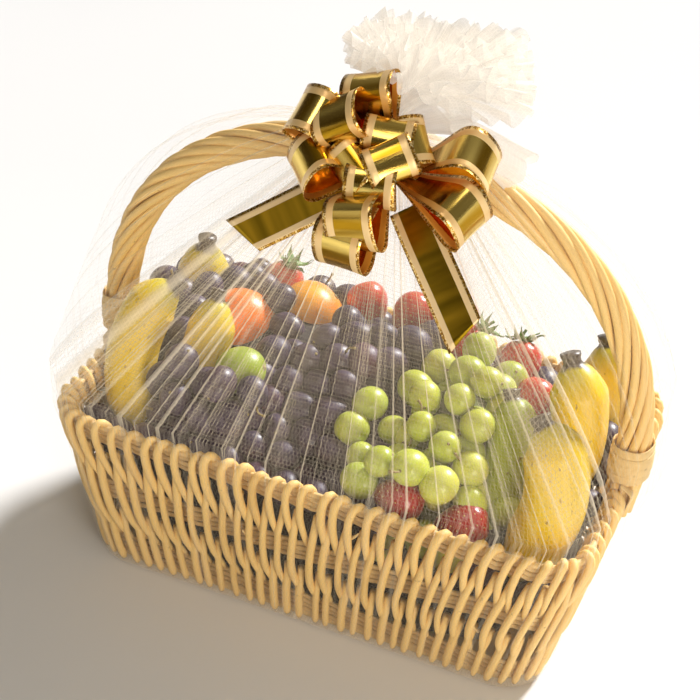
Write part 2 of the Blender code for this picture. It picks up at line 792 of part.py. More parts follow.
def grape_places(name, size):
    """Centres and directions of the grapes: darts thrown at the heap in plan, kept where there is room."""
    draw = random.Random(name)
    (cx, cy), (half_x, half_y), square = HEAPS[name]
    (gx, gy), (green_x, green_y), green_square = HEAPS["grapes_green"]
    places = []
    for _ in range(GRAPE_DARTS):
        u, v = draw.uniform(-1, 1), draw.uniform(-1, 1)
        tilt = Vector((draw.uniform(-1, 1), draw.uniform(-1, 1), draw.uniform(-0.5, 0.9))).normalized()
        x, y = cx + half_x * u, cy + half_y * v
        centre = Vector((x, y, heap_height(name, x, y) + draw.uniform(-0.002, 0.002)))
        flare = min(1.0, centre.z / RIM_HEIGHT)
        room_x = (BASE_LENGTH + (RIM_LENGTH - BASE_LENGTH) * flare) / 2 - WALL_THICKNESS - size[0]
        room_y = (BASE_WIDTH + (RIM_WIDTH - BASE_WIDTH) * flare) / 2 - WALL_THICKNESS - size[0]
        if abs(u) ** square + abs(v) ** square > 1.0:
            continue
        if abs(x) > room_x - GRAPE_ROOM or abs(y) > room_y - GRAPE_ROOM:
            continue
        in_green = abs((x - gx) / green_x) ** green_square + abs((y - gy) / green_y) ** green_square < 1.0
        if in_fruit(centre, size[1] * GRAPE_CROSSING) or (name == "grapes_dark" and in_green):
            continue
        if all((centre - at).length > size[1] * GRAPE_PITCH for at, _ in places):
            places.append((centre, tilt))
    return places


def grapes_of(name, size, grow, sides, where):
    """The grapes of a heap, each a low ellipsoid."""
    for centre, tilt in grape_places(name, size):
        turn = tilt.to_track_quat("Z", "Y").to_matrix()
        halves = (size[1] + grow, size[1] + grow, size[0] + grow)
        ball("grape", centre, halves, turn, where, None, *sides)


def grape_heap(name, size, sides, parts, cutters, finish):
    """A heap with whole grapes on top, cut round the fruit that is pressed into it."""
    grapes = collection_named(name + "_grapes")
    grapes_of(name, size, 0.0, sides, grapes)
    heap = joined(name + "_whole", heap_core(name, 0.0, cutters), grapes, cutters, None, solver="MANIFOLD")
    fruit = collection_named(name + "_cuts")
    for banana_name in BANANAS:
        evaluated_copy(banana(banana_name, CORE_GAP, fruit, None), "cut", fruit)
    for round_name in ROUND_FRUIT:
        round_fruit(round_name, CORE_GAP, fruit, None)
    for berry in STRAWBERRIES:
        strawberry(berry, CORE_GAP, fruit, None)
    if name == "grapes_dark":
        heap_core("grapes_green", CORE_GAP, fruit)
        grapes_of("grapes_green", GRAPE_GREEN, CORE_GAP, GREEN_SIDES, fruit)
    drop_scraps(joined(name, heap, fruit, parts, finish, "DIFFERENCE", "MANIFOLD"))
    bpy.data.collections.remove(fruit)
    bpy.data.collections.remove(grapes)


def build():
    clear_scene()
    parts = collection_named("fruit_gift_basket")
    cutters = collection_named("cutters")

    willow = material("willow", (0.62, 0.42, 0.18), 0.55)
    cane = material("flat cane", (0.72, 0.55, 0.30), 0.5)
    tulle = material("white net", (0.92, 0.90, 0.85), 0.6, alpha=0.35)
    gold = material("gold ribbon", (0.62, 0.40, 0.06), 0.3, metallic=0.8)
    banana_skin = material("banana skin", (0.85, 0.62, 0.05), 0.5)
    green_skin = material("green banana skin", (0.55, 0.58, 0.08), 0.5)
    citrus = material("orange peel", (0.90, 0.36, 0.03), 0.45)
    mango_skin = material("mango skin", (0.92, 0.55, 0.05), 0.4)
    lime_skin = material("lime peel", (0.35, 0.55, 0.05), 0.4)
    berry_red = material("strawberry", (0.62, 0.03, 0.03), 0.35)
    leaf = material("leaf", (0.12, 0.28, 0.06), 0.6)
    dark_grape = material("dark grape", (0.055, 0.04, 0.06), 0.45)
    green_grape = material("green grape", (0.50, 0.60, 0.12), 0.3)

    basket_base(parts, willow)
    basket_wall(parts, willow)
    basket_rim(parts, willow)
    handle(parts, cutters, willow)
    handle_binding("handle_binding_left", -1, parts, cane)
    handle_binding("handle_binding_right", 1, parts, cane)
    net(parts, tulle)
    net_ruff(parts, tulle)
    ribbon_bow(parts, cutters, gold)
    ribbon_tail("ribbon_tail_left", (-0.012, -0.030), (-0.070, -0.052), parts, gold)
    ribbon_tail("ribbon_tail_right", (0.026, -0.032), (0.078, -0.062), parts, gold)
    for name in BANANAS:
        banana(name, 0.0, parts, green_skin if name.endswith("green") else banana_skin)
    for name, skin in (("orange", citrus), ("mango", mango_skin), ("lime", lime_skin)):
        round_fruit(name, 0.0, parts, skin)
    for name in STRAWBERRIES:
        strawberry(name, 0.0, parts, berry_red)
    for name in LEAFED:
        strawberry_leaves(name, parts, leaf)
    grape_heap("grapes_dark", GRAPE_DARK, DARK_SIDES, parts, cutters, dark_grape)
    grape_heap("grapes_green", GRAPE_GREEN, GREEN_SIDES, parts, cutters, green_grape)


build()
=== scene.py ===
"""Looks of the fruit gift basket: willow weave, twisted handle, fruit, gathered net and gold ribbon bow.

Metres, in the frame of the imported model. X runs along the basket, -Y is its front, +Z is up.
"""

import json
import math
import random

import bpy
import numpy as np
from mathutils import Matrix, Vector, noise

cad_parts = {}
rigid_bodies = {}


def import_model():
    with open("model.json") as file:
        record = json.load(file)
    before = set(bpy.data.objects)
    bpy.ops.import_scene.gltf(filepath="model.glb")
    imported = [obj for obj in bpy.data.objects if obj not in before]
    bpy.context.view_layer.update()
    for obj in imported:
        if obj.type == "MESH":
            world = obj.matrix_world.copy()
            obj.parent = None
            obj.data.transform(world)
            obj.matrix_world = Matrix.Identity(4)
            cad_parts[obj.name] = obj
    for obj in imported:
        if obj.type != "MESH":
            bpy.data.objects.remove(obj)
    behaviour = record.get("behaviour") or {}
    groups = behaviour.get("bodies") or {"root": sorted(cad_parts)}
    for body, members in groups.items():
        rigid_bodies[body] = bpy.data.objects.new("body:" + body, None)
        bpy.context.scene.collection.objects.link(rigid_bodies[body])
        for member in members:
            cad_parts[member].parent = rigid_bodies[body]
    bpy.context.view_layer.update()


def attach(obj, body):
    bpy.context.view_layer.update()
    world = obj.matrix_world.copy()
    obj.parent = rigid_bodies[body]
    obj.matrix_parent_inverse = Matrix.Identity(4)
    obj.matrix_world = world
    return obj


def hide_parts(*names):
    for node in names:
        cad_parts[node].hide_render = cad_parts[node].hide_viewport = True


for startup_object in list(bpy.data.objects):
    bpy.data.objects.remove(startup_object, do_unlink=True)
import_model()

RIM_LENGTH = 0.366
RIM_WIDTH = 0.220
RIM_HEIGHT = 0.128
RIM_CORNER = 0.034
RIM_PERIMETER = 1.11
BASE_LENGTH = 0.314
BASE_WIDTH = 0.172
BASE_CORNER = 0.028
BASE_THICKNESS = 0.009
WALL_THICKNESS = 0.006
STAKES = 100
STAKE_PITCH = 1 / STAKES
STAKE_RADIUS = 0.0026
STAKE_RINGS = 15
CANE_THICKNESS = 0.0014
BINDING_THICKNESS = 0.0011

# Cut ends that stand out of the weave: share of the way round, height and lean in pitches.
STRIP_ENDS = ((0.905, 0.100, 0.5), (0.965, 0.062, -0.4), (0.03, 0.095, 0.6), (0.12, 0.045, -0.5))

HANDLE_HALF_SPAN = 0.186
HANDLE_FOOT_TUCK = 0.008
HANDLE_TOP = 0.312
HANDLE_Y = -0.004
HANDLE_RADIUS = 0.011
HANDLE_ROUNDNESS = 0.883
HANDLE_RODS = 9
HANDLE_ROD_SIZES = (0.0026, 0.0031)
HANDLE_TURNS = 2.8
BINDING_HEIGHT = 0.032

# The net reaches NET_REACH past the rim, NET_SKIN off the wall and NET_END_REACH over the feet of the handle.
# Its threads stand NET_PITCH apart, in three directions that are given as steps (sideways, upward).
NET_REACH = 0.0035
NET_LIFT = 0.0008
NET_END_REACH = HANDLE_HALF_SPAN + HANDLE_RADIUS + 0.0046
NET_ROUNDNESS = 0.83
NET_END_BULGE = 0.07
END_TUCK = 0.012
NET_FOLDS = 76
NET_SLANT = 0.23
NET_PERIMETER = 1.12
NET_PITCH = 0.0029
NET_THREADS = ((0.0, 1.25), (1.15, 0.45), (-1.15, 0.45))
NET_SKIN = 0.0034
NECK_RADIUS = 0.009
NECK_BOTTOM = 0.3275
NECK_TOP = 0.3355
RUFF_FRONT = 0.60
RUFF_LEAN = Vector((0.30, 0.10, 1.0)).normalized()

# The skirts of the ruff: opening angle in degrees, length, number of ruffles and their depth.
FRILL_SKIRTS = (
    (20, 0.056, 17, 0.0036),
    (34, 0.062, 21, 0.0040),
    (48, 0.067, 25, 0.0042),
    (62, 0.070, 28, 0.0042),
    (76, 0.071, 27, 0.0042),
    (90, 0.066, 24, 0.0040),
)

# Stray rolled ends of the net beside the tie: start, end, half width and half depth at the open end.
STRAY_ENDS = (
    ((0.010, -0.010, 0.338), (0.043, -0.028, 0.363), 0.0135, 0.0095),
    ((0.030, -0.004, 0.346), (0.082, -0.006, 0.322), 0.0150, 0.0040),
)

RIBBON_WIDTH = 0.030
RIBBON_THICKNESS = 0.00024
TAIL_WIDTH = 0.026
TAIL_LIFT = 0.0066
KNOT_HALVES = (0.0065, 0.0075, 0.0065)
NECK_BAND_WIDTH = 0.0072
TONGUE_RADIUS = 0.0032
BOW_CENTRE = Vector((0.010, -0.035, 0.3205))
BOW_AZIMUTH = math.radians(10)
BOW_ELEVATION = math.radians(40)

# Units of the ribbon's grain for each metre along it. Across it the grain runs from -0.5 to 0.5, and between
# these places its metal band gives way to the sheer stripes, and they to the glitter edges.
RIBBON_GRAIN = 40
BAND_HALF, BAND_END = 0.285, 0.295
STRIPE_HALF, STRIPE_END = 0.425, 0.435

GRAPE_DARK = (0.0135, 0.0116)
GRAPE_GREEN = (0.0118, 0.0112)

# Each loop of the bow: clock angle in degrees (0 is right, 90 is up), tilt forward, length, and roll.
BOW_LOOPS = (
    (112, 35, 0.058, -16),
    (160, 30, 0.066, 6),
    (150, 52, 0.060, -44),
    (197, 36, 0.060, 30),
    (84, 72, 0.044, 6),
    (316, 80, 0.050, -14),
    (262, 62, 0.050, 10),
    (256, 24, 0.071, 12),
    (260, 40, 0.067, 22),
    (333, 24, 0.070, -14),
    (5, 28, 0.068, -26),
    (214, 62, 0.048, 14),
    (34, 60, 0.042, -10),
)

# The broad folds of the net that show: share of the way round the rim, half width at the rim, and cover.
BROAD_FOLDS = (
    (0.163, 0.0036, 0.85),
    (0.173, 0.0016, 0.60),
    (0.838, 0.0042, 0.44),
    (0.853, 0.0072, 0.58),
    (0.871, 0.0056, 0.52),
    (0.892, 0.0022, 0.60),
    (0.915, 0.0016, 0.60),
)

# Towards the side of the heap that shows, from the front and above.
OPEN_SIDE = Vector((0.25, -0.78, 0.575))

# How much of these fruits the dark grapes leave bare on their open side.
BARE_FRUIT = {"orange": 0.92, "mango": 0.55, "strawberry_2": 0.75, "strawberry_3": 0.7, "strawberry_4": 0.5}

# Dark grapes piled against the front bananas and the lime.
DARK_BUNCH = (
    (-0.077, -0.071, 0.157),
    (-0.055, -0.067, 0.155),
    (-0.090, -0.066, 0.147),
    (-0.104, -0.062, 0.155),
    (-0.115, -0.062, 0.140),
    (-0.066, -0.078, 0.140),
    (-0.084, -0.074, 0.137),
    (-0.100, -0.070, 0.141),
)

# The green grapes that lie on top of their bunch, from its back to its front.
GREEN_BUNCH = (
    (0.066, 0.018, 0.174),
    (0.041, 0.020, 0.153),
    (0.084, 0.041, 0.145),
    (0.069, 0.001, 0.170),
    (0.034, -0.004, 0.149),
    (0.082, -0.012, 0.168),
    (0.093, -0.016, 0.159),
    (0.099, -0.021, 0.150),
    (0.072, -0.024, 0.167),
    (0.046, -0.024, 0.160),
    (0.011, -0.031, 0.143),
    (0.031, -0.034, 0.135),
    (0.085, -0.035, 0.159),
    (0.009, -0.044, 0.136),
    (0.055, -0.048, 0.154),
    (0.115, -0.048, 0.111),
    (0.072, -0.055, 0.150),
    (0.089, -0.058, 0.141),
    (0.019, -0.059, 0.127),
    (0.045, -0.063, 0.134),
    (0.133, -0.065, 0.098),
    (0.096, -0.070, 0.128),
    (0.065, -0.069, 0.136),
    (0.026, -0.078, 0.124),
    (0.040, -0.078, 0.143),
    (0.059, -0.080, 0.146),
    (0.076, -0.080, 0.141),
)

# Each banana: its thickest radius, then four points of its middle line, its showing tip first.
BANANAS = {
    "banana_left_upright": (
        0.0185,
        ((-0.143, 0.052, 0.181), (-0.144, 0.050, 0.150), (-0.138, 0.046, 0.110), (-0.122, 0.044, 0.070)),
    ),
    "banana_left_front": (
        0.0175,
        ((-0.127, -0.020, 0.191), (-0.144, -0.034, 0.170), (-0.148, -0.051, 0.135), (-0.134, -0.063, 0.085)),
    ),
    "banana_left_inner": (
        0.0160,
        ((-0.106, -0.008, 0.184), (-0.105, -0.022, 0.158), (-0.107, -0.037, 0.125), (-0.100, -0.046, 0.080)),
    ),
    "banana_right_front": (
        0.0205,
        ((0.126, -0.050, 0.190), (0.142, -0.058, 0.168), (0.146, -0.064, 0.130), (0.128, -0.064, 0.075)),
    ),
    "banana_right_green": (
        0.0165,
        ((0.098, -0.012, 0.176), (0.105, -0.022, 0.155), (0.108, -0.035, 0.120), (0.100, -0.045, 0.075)),
    ),
    "banana_right_middle": (
        0.0190,
        ((0.126, 0.012, 0.198), (0.138, 0.006, 0.170), (0.141, 0.002, 0.130), (0.126, 0.000, 0.080)),
    ),
    "banana_right_rear": (
        0.0180,
        ((0.138, 0.064, 0.184), (0.145, 0.057, 0.160), (0.141, 0.052, 0.120), (0.122, 0.050, 0.080)),
    ),
}

# Share of a banana's length that is its dry tip.
DRY_TIP = 0.080

# Each round fruit: its centre and its half sizes.
ROUND_FRUIT = {
    "orange": ((-0.101, 0.019, 0.141), (0.0255, 0.0255, 0.025)),
    "mango": ((-0.063, 0.053, 0.142), (0.025, 0.022, 0.024)),
    "lime": ((-0.071, -0.048, 0.156), (0.0165, 0.0170, 0.0145)),
}

# Each strawberry: its centre and the direction from its tip to its leaves.
STRAWBERRIES = {
    "strawberry_1": ((-0.097, 0.079, 0.141), (0.3, 0.2, 1.0)),
    "strawberry_2": ((-0.030, 0.075, 0.147), (-0.5, 0.4, 0.7)),
    "strawberry_3": ((0.004, 0.066, 0.155), (0.2, 0.9, 0.3)),
    "strawberry_4": ((0.034, 0.078, 0.152), (-0.3, 0.8, 0.5)),
    "strawberry_5": ((0.052, 0.046, 0.155), (0.4, 0.5, 0.8)),
    "strawberry_6": ((0.085, 0.061, 0.144), (-0.2, 0.6, 0.8)),
    "strawberry_7": ((0.104, 0.030, 0.140), (0.2, 0.8, 0.5)),
    "strawberry_8": ((0.053, -0.081, 0.121), (0.9, -0.1, 0.1)),
    "strawberry_9": ((0.096, -0.081, 0.117), (0.9, 0.2, 0.2)),
}
STRAWBERRY_LENGTH = 0.036
STRAWBERRY_RADIUS = 0.0160
PITS, PIT_DEPTH, PIT_RADIUS = 120, 0.0006, 0.0011
SEED_HALVES = (0.00055, 0.00055, 0.00035)
LEAF_THICKNESS = 0.00036
# Berries in painted shade: their flesh is coloured darker red all over, for the shade they lie in under the
# net.
SHADED_BERRIES = ("strawberry_8", "strawberry_9")
LEAFED = ("strawberry_1", "strawberry_5", "strawberry_6")

# Each heap of grapes: centre and half sizes in plan, and how squarely it fills them.
HEAPS = {
    "grapes_dark": ((0.0, 0.0), (0.158, 0.088), 5.0),
    "grapes_green": ((0.068, -0.032), (0.040, 0.056), 2.4),
}
DARK_FRONT, DARK_RISE, DARK_CREST_Y, DARK_STEP = 0.116, 0.046, 0.030, 0.020
GREEN_EDGE, GREEN_CROWN, GREEN_SLOPE = 0.112, 0.158, 0.42
HEAP_WAIST = 0.085

# Where the dark grapes lie piled against the front bananas: middle and half widths in plan, and height.
LEANING_PILE = ((-0.096, -0.062), (0.030, 0.022), 0.020)
GREEN_FOOT = 0.080

# How far a heap's own core lies under its surface, and the share of grapes with a bit of stalk.
CORE_DEPTH = 0.009
STALKED = 0.2
STALK_RADII = (0.0009, 0.0008, 0.0007, 0.0007, 0.0008, 0.0011)


class Shape:
    """Points and faces of one mesh, with each point's tint, grain coordinate and share of doubled layers."""

    def __init__(self):
        self.points = []
        self.faces = []
        self.tints = []
        self.grain = []
        self.slots = []
        self.layers = []

    def add(self, points, faces, tint=0.5, grain=None, slot=0, layers=0.0):
        start = len(self.points)
        self.points += [tuple(point) for point in points]
        self.faces += [tuple(start + k for k in face) for face in faces]
        self.slots += [slot] * len(faces)
        self.tints += list(tint) if hasattr(tint, "__len__") else [tint] * len(points)
        self.grain += [tuple(g) for g in grain] if grain is not None else [tuple(point) for point in points]
        self.layers += list(layers) if hasattr(layers, "__len__") else [layers] * len(points)

    def piece(self, name, finishes, slot, stands_for=()):
        mesh = bpy.data.meshes.new(name)
        mesh.from_pydata(self.points, [], self.faces)
        for finish in finishes:
            mesh.materials.append(finish)
        mesh.polygons.foreach_set("material_index", self.slots)
        tint = mesh.attributes.new("tint", "FLOAT", "POINT")
        tint.data.foreach_set("value", np.array(self.tints, np.float32))
        grain = mesh.attributes.new("grain", "FLOAT_VECTOR", "POINT")
        grain.data.foreach_set("vector", np.array(self.grain, np.float32).ravel())
        if any(self.layers):
            layers = mesh.attributes.new("layers", "FLOAT", "POINT")
            layers.data.foreach_set("value", np.array(self.layers, np.float32))
        mesh.shade_smooth()
        mesh.update()
        obj = bpy.data.objects.new(name, mesh)
        bpy.context.scene.collection.objects.link(obj)
        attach(obj, "root")
        if stands_for:
            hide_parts(*stands_for)
        return obj


def grid_faces(rows, columns, round_columns=True, round_rows=False):
    """Quads between rows of points, each row holding the same number of columns."""
    across = columns if round_columns else columns - 1
    down = rows if round_rows else rows - 1
    faces = []
    for row in range(down):
        for column in range(across):
            a = row * columns + column
            b = row * columns + (column + 1) % columns
            c = ((row + 1) % rows) * columns + (column + 1) % columns
            d = ((row + 1) % rows) * columns + column
            faces.append((a, b, c, d))
    return faces


def wobble(a, b, c):
    """A smooth random number from -1 to 1 that depends on these three."""
    return noise.noise(Vector((a, b, c)))


def end_caps(rows, columns):
    """The two faces that close the first and the last row of a grid that is round in its columns."""
    return [tuple(reversed(range(columns))), tuple(range((rows - 1) * columns, rows * columns))]


def ball_rings(segments, rings):
    """For each point of a ball between its poles, ring by ring: angle from the upper pole, x, y and z."""
    for row in range(1, rings):
        polar = math.pi * row / rings
        flat = math.sin(polar)
        for column in range(segments):
            angle = 2 * math.pi * column / segments
            yield polar, flat * math.cos(angle), flat * math.sin(angle), math.cos(polar)


def ball_faces(segments, rings):
    """Faces of a ball whose points run from its upper pole, ring by ring, to its lower pole."""
    last = 1 + (rings - 1) * segments
    faces = []
    for column in range(segments):
        after = (column + 1) % segments
        faces.append((0, 1 + column, 1 + after))
        for row in range(rings - 2):
            a, b = 1 + row * segments + column, 1 + row * segments + after
            faces.append((a, a + segments, b + segments, b))
        faces.append((last - segments + after, last - segments + column, last))
    return faces


def sheet_faces(rows, across):
    """Faces of a thin closed sheet: its upper grid, the lower one behind it and the edge that joins them."""
    size = rows * across
    upper = grid_faces(rows, across, round_columns=False)
    lower = [tuple(size + k for k in reversed(face)) for face in upper]
    rim = [k * across for k in range(rows)] + [size - across + k for k in range(1, across)]
    rim += [k * across + across - 1 for k in reversed(range(rows - 1))]
    rim += list(reversed(range(1, across - 1)))
    edge = [(a, b, size + b, size + a) for a, b in zip(rim, rim[1:] + rim[:1])]
    return upper + lower + edge


def smooth_path(points, count):
    """Points read from a smooth curve through a few given points."""
    points = [Vector(point) for point in points]
    ends = [2 * points[0] - points[1]] + points + [2 * points[-1] - points[-2]]
    read = []
    for k in range(count):
        place = k / (count - 1) * (len(points) - 1)
        leg = min(int(place), len(points) - 2)
        t = place - leg
        a, b, c, d = ends[leg : leg + 4]
        bend = (2 * a - 5 * b + 4 * c - d) * t**2 + (3 * b - a - 3 * c + d) * t**3
        read.append(0.5 * (2 * b + (c - a) * t + bend))
    return read


def frames_along(path, closed=False):
    """Direction and two cross directions at each point of a path, turning as little as possible."""
    count = len(path)
    frames = []
    side = None
    for k in range(count):
        before = path[k - 1] if k or closed else path[k]
        after = path[(k + 1) % count] if k < count - 1 or closed else path[k]
        ahead = (after - before).normalized()
        if side is None:
            side = ahead.orthogonal().normalized()
        side = (side - ahead * side.dot(ahead)).normalized()
        frames.append((ahead, side, ahead.cross(side)))
    return frames


def tube(shape, path, radii, sides=8, tint=0.5, ends=True, slot=0, seed=0.0):
    """A round rod along a path, with a grain that runs along it."""
    points, grain = [], []
    length = 0.0
    for k, (_, side, up) in enumerate(frames_along(path)):
        if k:
            length += (path[k] - path[k - 1]).length
        for s in range(sides):
            angle = 2 * math.pi * s / sides
            points.append(path[k] + (side * math.cos(angle) + up * math.sin(angle)) * radii[k])
            grain.append((radii[k] * math.cos(angle) + seed, radii[k] * math.sin(angle), length + seed))
    faces = grid_faces(len(path), sides) + (end_caps(len(path), sides) if ends else [])
    shape.add(points, faces, tint, grain, slot)


def strap(shape, path, outs, width, thickness, tint=0.5, closed=False, slot=0, seed=0.0):
    """A flat strip with rounded edges along a path, its flat side facing the given outward directions."""
    section = ((-0.5, 0.0), (-0.42, 0.5), (0.42, 0.5), (0.5, 0.0), (0.42, -0.5), (-0.42, -0.5))
    points, grain = [], []
    length = 0.0
    for k, (ahead, _, _) in enumerate(frames_along(path, closed)):
        if k:
            length += (path[k] - path[k - 1]).length
        out = (outs[k] - ahead * outs[k].dot(ahead)).normalized()
        across = ahead.cross(out)
        for u, v in section:
            points.append(path[k] + across * (u * width) + out * (v * thickness))
            grain.append((u * width + seed, v * thickness, length + seed))
    rows, columns = len(path), len(section)
    faces = grid_faces(rows, columns, round_rows=closed)
    if not closed:
        faces += end_caps(rows, columns)
    shape.add(points, faces, tint, grain, slot)


def outline(length, width, corner, share):
    """Point of a rounded rectangle and its outward direction, this share of the way round from the front."""
    side, end = length / 2 - corner, width / 2 - corner
    arc = corner * math.pi / 2
    left = (share % 1.0) * (4 * side + 4 * end + 4 * arc)
    steps = ((side, 0), (2 * end, 1), (2 * side, 2), (2 * end, 3), (side, 4))
    start = Vector((0.0, -width / 2))
    for reach, quarter in steps:
        turn = math.pi / 2 * quarter
        along = Vector((math.cos(turn), math.sin(turn)))
        if left <= reach or quarter == 4:
            return start + along * left, Vector((along.y, -along.x))
        left -= reach
        start = start + along * reach
        centre = start + Vector((-along.y, along.x)) * corner
        if left <= arc:
            angle = turn - math.pi / 2 + left / corner
            out = Vector((math.cos(angle), math.sin(angle)))
            return centre + out * corner, out
        left -= arc
        angle = turn
        start = centre + Vector((math.cos(angle), math.sin(angle))) * corner


def wall_point(share, height, depth):
    """Point this far outside the basket's outer face, at this height, and the outward direction."""
    low, low_out = outline(BASE_LENGTH, BASE_WIDTH, BASE_CORNER, share)
    high, high_out = outline(RIM_LENGTH, RIM_WIDTH, RIM_CORNER, share)
    rise = height / RIM_HEIGHT
    out = low_out.lerp(high_out, max(0.0, min(1.0, rise))).normalized()
    at = low.lerp(high, rise) + out * depth
    return Vector((at.x, at.y, height)), Vector((out.x, out.y, 0.0))


def node(tree, kind, settings=None, **inputs):
    """A shader node. Its inputs, by name or numbered i0, i1, are given as values or as outputs to link."""
    made = tree.nodes.new(kind)
    for key, value in (settings or {}).items():
        setattr(made, key, value)
    for key, value in inputs.items():
        numbered = key[0] == "i" and key[1:].isdigit()
        socket = made.inputs[int(key[1:]) if numbered else key.replace("_", " ")]
        if isinstance(value, bpy.types.NodeSocket):
            tree.links.new(value, socket)
        else:
            socket.default_value = value
    return made


def finish_named(name, roughness, **sockets):
    """A material with a Principled shader; returns the material, its tree and the shader."""
    made = bpy.data.materials.new(name)
    made.use_nodes = True
    tree = made.node_tree
    shader = tree.nodes["Principled BSDF"]
    shader.inputs["Roughness"].default_value = roughness
    for key, value in sockets.items():
        shader.inputs[key.replace("_", " ")].default_value = value
    return made, tree, shader


def math_node(tree, operation, a, b=0.0, clamp=False):
    return node(tree, "ShaderNodeMath", {"operation": operation, "use_clamp": clamp}, i0=a, i1=b).outputs[0]


def ramp(tree, factor, stops):
    """A colour ramp through (position, colour) stops."""
    made = node(tree, "ShaderNodeValToRGB", i0=factor)
    elements = made.color_ramp.elements
    while len(elements) < len(stops):
        elements.new(0.5)
    for element, (position, colour) in zip(elements, stops):
        element.position = position
        element.color = (*colour, 1.0) if len(colour) == 3 else colour
    return made.outputs[0]


def levels(tree, factor, *stops):
    """A ramp of plain levels through (position, level) stops."""
    return ramp(tree, factor, [(position, (level,) * 3) for position, level in stops])


def mixed(tree, factor, a, b):
    made = node(tree, "ShaderNodeMix", {"data_type": "RGBA", "blend_type": "MIX"})
    for socket, value in ((made.inputs[0], factor), (made.inputs[6], a), (made.inputs[7], b)):
        if isinstance(value, bpy.types.NodeSocket):
            tree.links.new(value, socket)
        elif isinstance(value, (tuple, list)):
            socket.default_value = (*value, 1.0)
        else:
            socket.default_value = value
    return made.outputs[2]


def attribute(tree, name):
    made = node(tree, "ShaderNodeAttribute", {"attribute_name": name})
    return made.outputs["Vector"] if name == "grain" else made.outputs["Fac"]


def noise_on(tree, vector, scale, detail=3.0, stretch=(1.0, 1.0, 1.0), roughness=0.55):
    moved = node(tree, "ShaderNodeMapping", Vector=vector, Scale=stretch).outputs[0]
    made = node(tree, "ShaderNodeTexNoise", Vector=moved, Scale=scale, Detail=detail, Roughness=roughness)
    return made.outputs["Fac"]


def bump(tree, shader, height, strength, distance):
    made = node(tree, "ShaderNodeBump", Height=height, Strength=strength, Distance=distance)
    tree.links.new(made.outputs[0], shader.inputs["Normal"])


def coloured(tree, shader, colour):
    """Feeds the shader's base colour."""
    tree.links.new(colour, shader.inputs["Base Color"])


def object_place(tree):
    return node(tree, "ShaderNodeTexCoord").outputs["Object"]


def willow_finish(name, pale, middle, shade):
    """Peeled willow: streaks along the rod, darker spots, and each rod a little different."""
    made, tree, shader = finish_named(name, 0.5, Coat_Weight=0.12, Coat_Roughness=0.3)
    grain = attribute(tree, "grain")
    streaks = noise_on(tree, grain, 900, 4, (1.0, 1.0, 0.045))
    blotch = noise_on(tree, grain, 60, 2, (1.0, 1.0, 0.6))
    level = math_node(tree, "MULTIPLY_ADD", streaks, 0.45)
    level = math_node(tree, "ADD", level, math_node(tree, "MULTIPLY", blotch, 0.30))
    level = math_node(tree, "ADD", level, math_node(tree, "MULTIPLY", attribute(tree, "tint"), 0.55))
    level = math_node(tree, "SUBTRACT", level, 0.16)
    colour = ramp(tree, level, ((0.12, shade), (0.5, middle), (0.85, pale)))
    spots = noise_on(tree, grain, 260, 2)
    spot = levels(tree, spots, (0.70, 0.0), (0.76, 1.0))
    colour = mixed(tree, math_node(tree, "MULTIPLY", spot, 0.45), colour, shade)
    coloured(tree, shader, colour)
    tree.links.new(math_node(tree, "MULTIPLY_ADD", streaks, 0.3, clamp=True), shader.inputs["Roughness"])
    bump(tree, shader, streaks, 0.35, 0.0004)
    return made


def banana_finish(name, yellow, tip_green, green_share):
    """Banana skin: yellow with green towards its ends, brown specks and a dark dry tip."""
    flesh = {"Subsurface_Weight": 0.06, "Subsurface_Radius": (0.006, 0.004, 0.001)}
    made, tree, shader = finish_named(name, 0.42, Coat_Weight=0.12, Coat_Roughness=0.35, **flesh)
    grain = attribute(tree, "grain")
    along = attribute(tree, "tint")
    soft = noise_on(tree, grain, 30, 3)
    body = mixed(tree, soft, yellow, tuple(c * 0.86 for c in yellow))
    near_tip = levels(tree, along, (0.12, 1.0), (0.26, green_share), (1.0, green_share))
    body = mixed(tree, math_node(tree, "MULTIPLY", near_tip, 0.6), body, tip_green)
    specks = noise_on(tree, grain, 420, 2, (1.0, 1.0, 0.45))
    speck = levels(tree, specks, (0.665, 0.0), (0.71, 1.0))
    body = mixed(tree, math_node(tree, "MULTIPLY", speck, 0.7), body, (0.20, 0.09, 0.02))
    ragged = math_node(tree, "MULTIPLY", noise_on(tree, grain, 160, 3), 0.06)
    ragged = math_node(tree, "ADD", along, math_node(tree, "SUBTRACT", ragged, 0.03))
    dry = levels(tree, ragged, (DRY_TIP + 0.005, 1.0), (DRY_TIP + 0.03, 0.0))
    body = mixed(tree, dry, body, (0.060, 0.036, 0.022))
    coloured(tree, shader, body)
    bump(tree, shader, noise_on(tree, grain, 260, 3, (1.0, 1.0, 0.15)), 0.18, 0.0004)
    return made


def citrus_finish(name, colour, deep, pore_scale):
    """Pored citrus peel."""
    flesh = {"Subsurface_Weight": 0.08, "Subsurface_Radius": (0.006, 0.003, 0.001)}
    made, tree, shader = finish_named(name, 0.40, Coat_Weight=0.2, Coat_Roughness=0.3, **flesh)
    place = object_place(tree)
    coloured(tree, shader, mixed(tree, noise_on(tree, place, 45, 3), colour, deep))
    pores = node(tree, "ShaderNodeTexVoronoi", Vector=place, Scale=pore_scale).outputs["Distance"]
    bump(tree, shader, math_node(tree, "MINIMUM", pores, 0.45), 0.4, 0.0007)
    return made


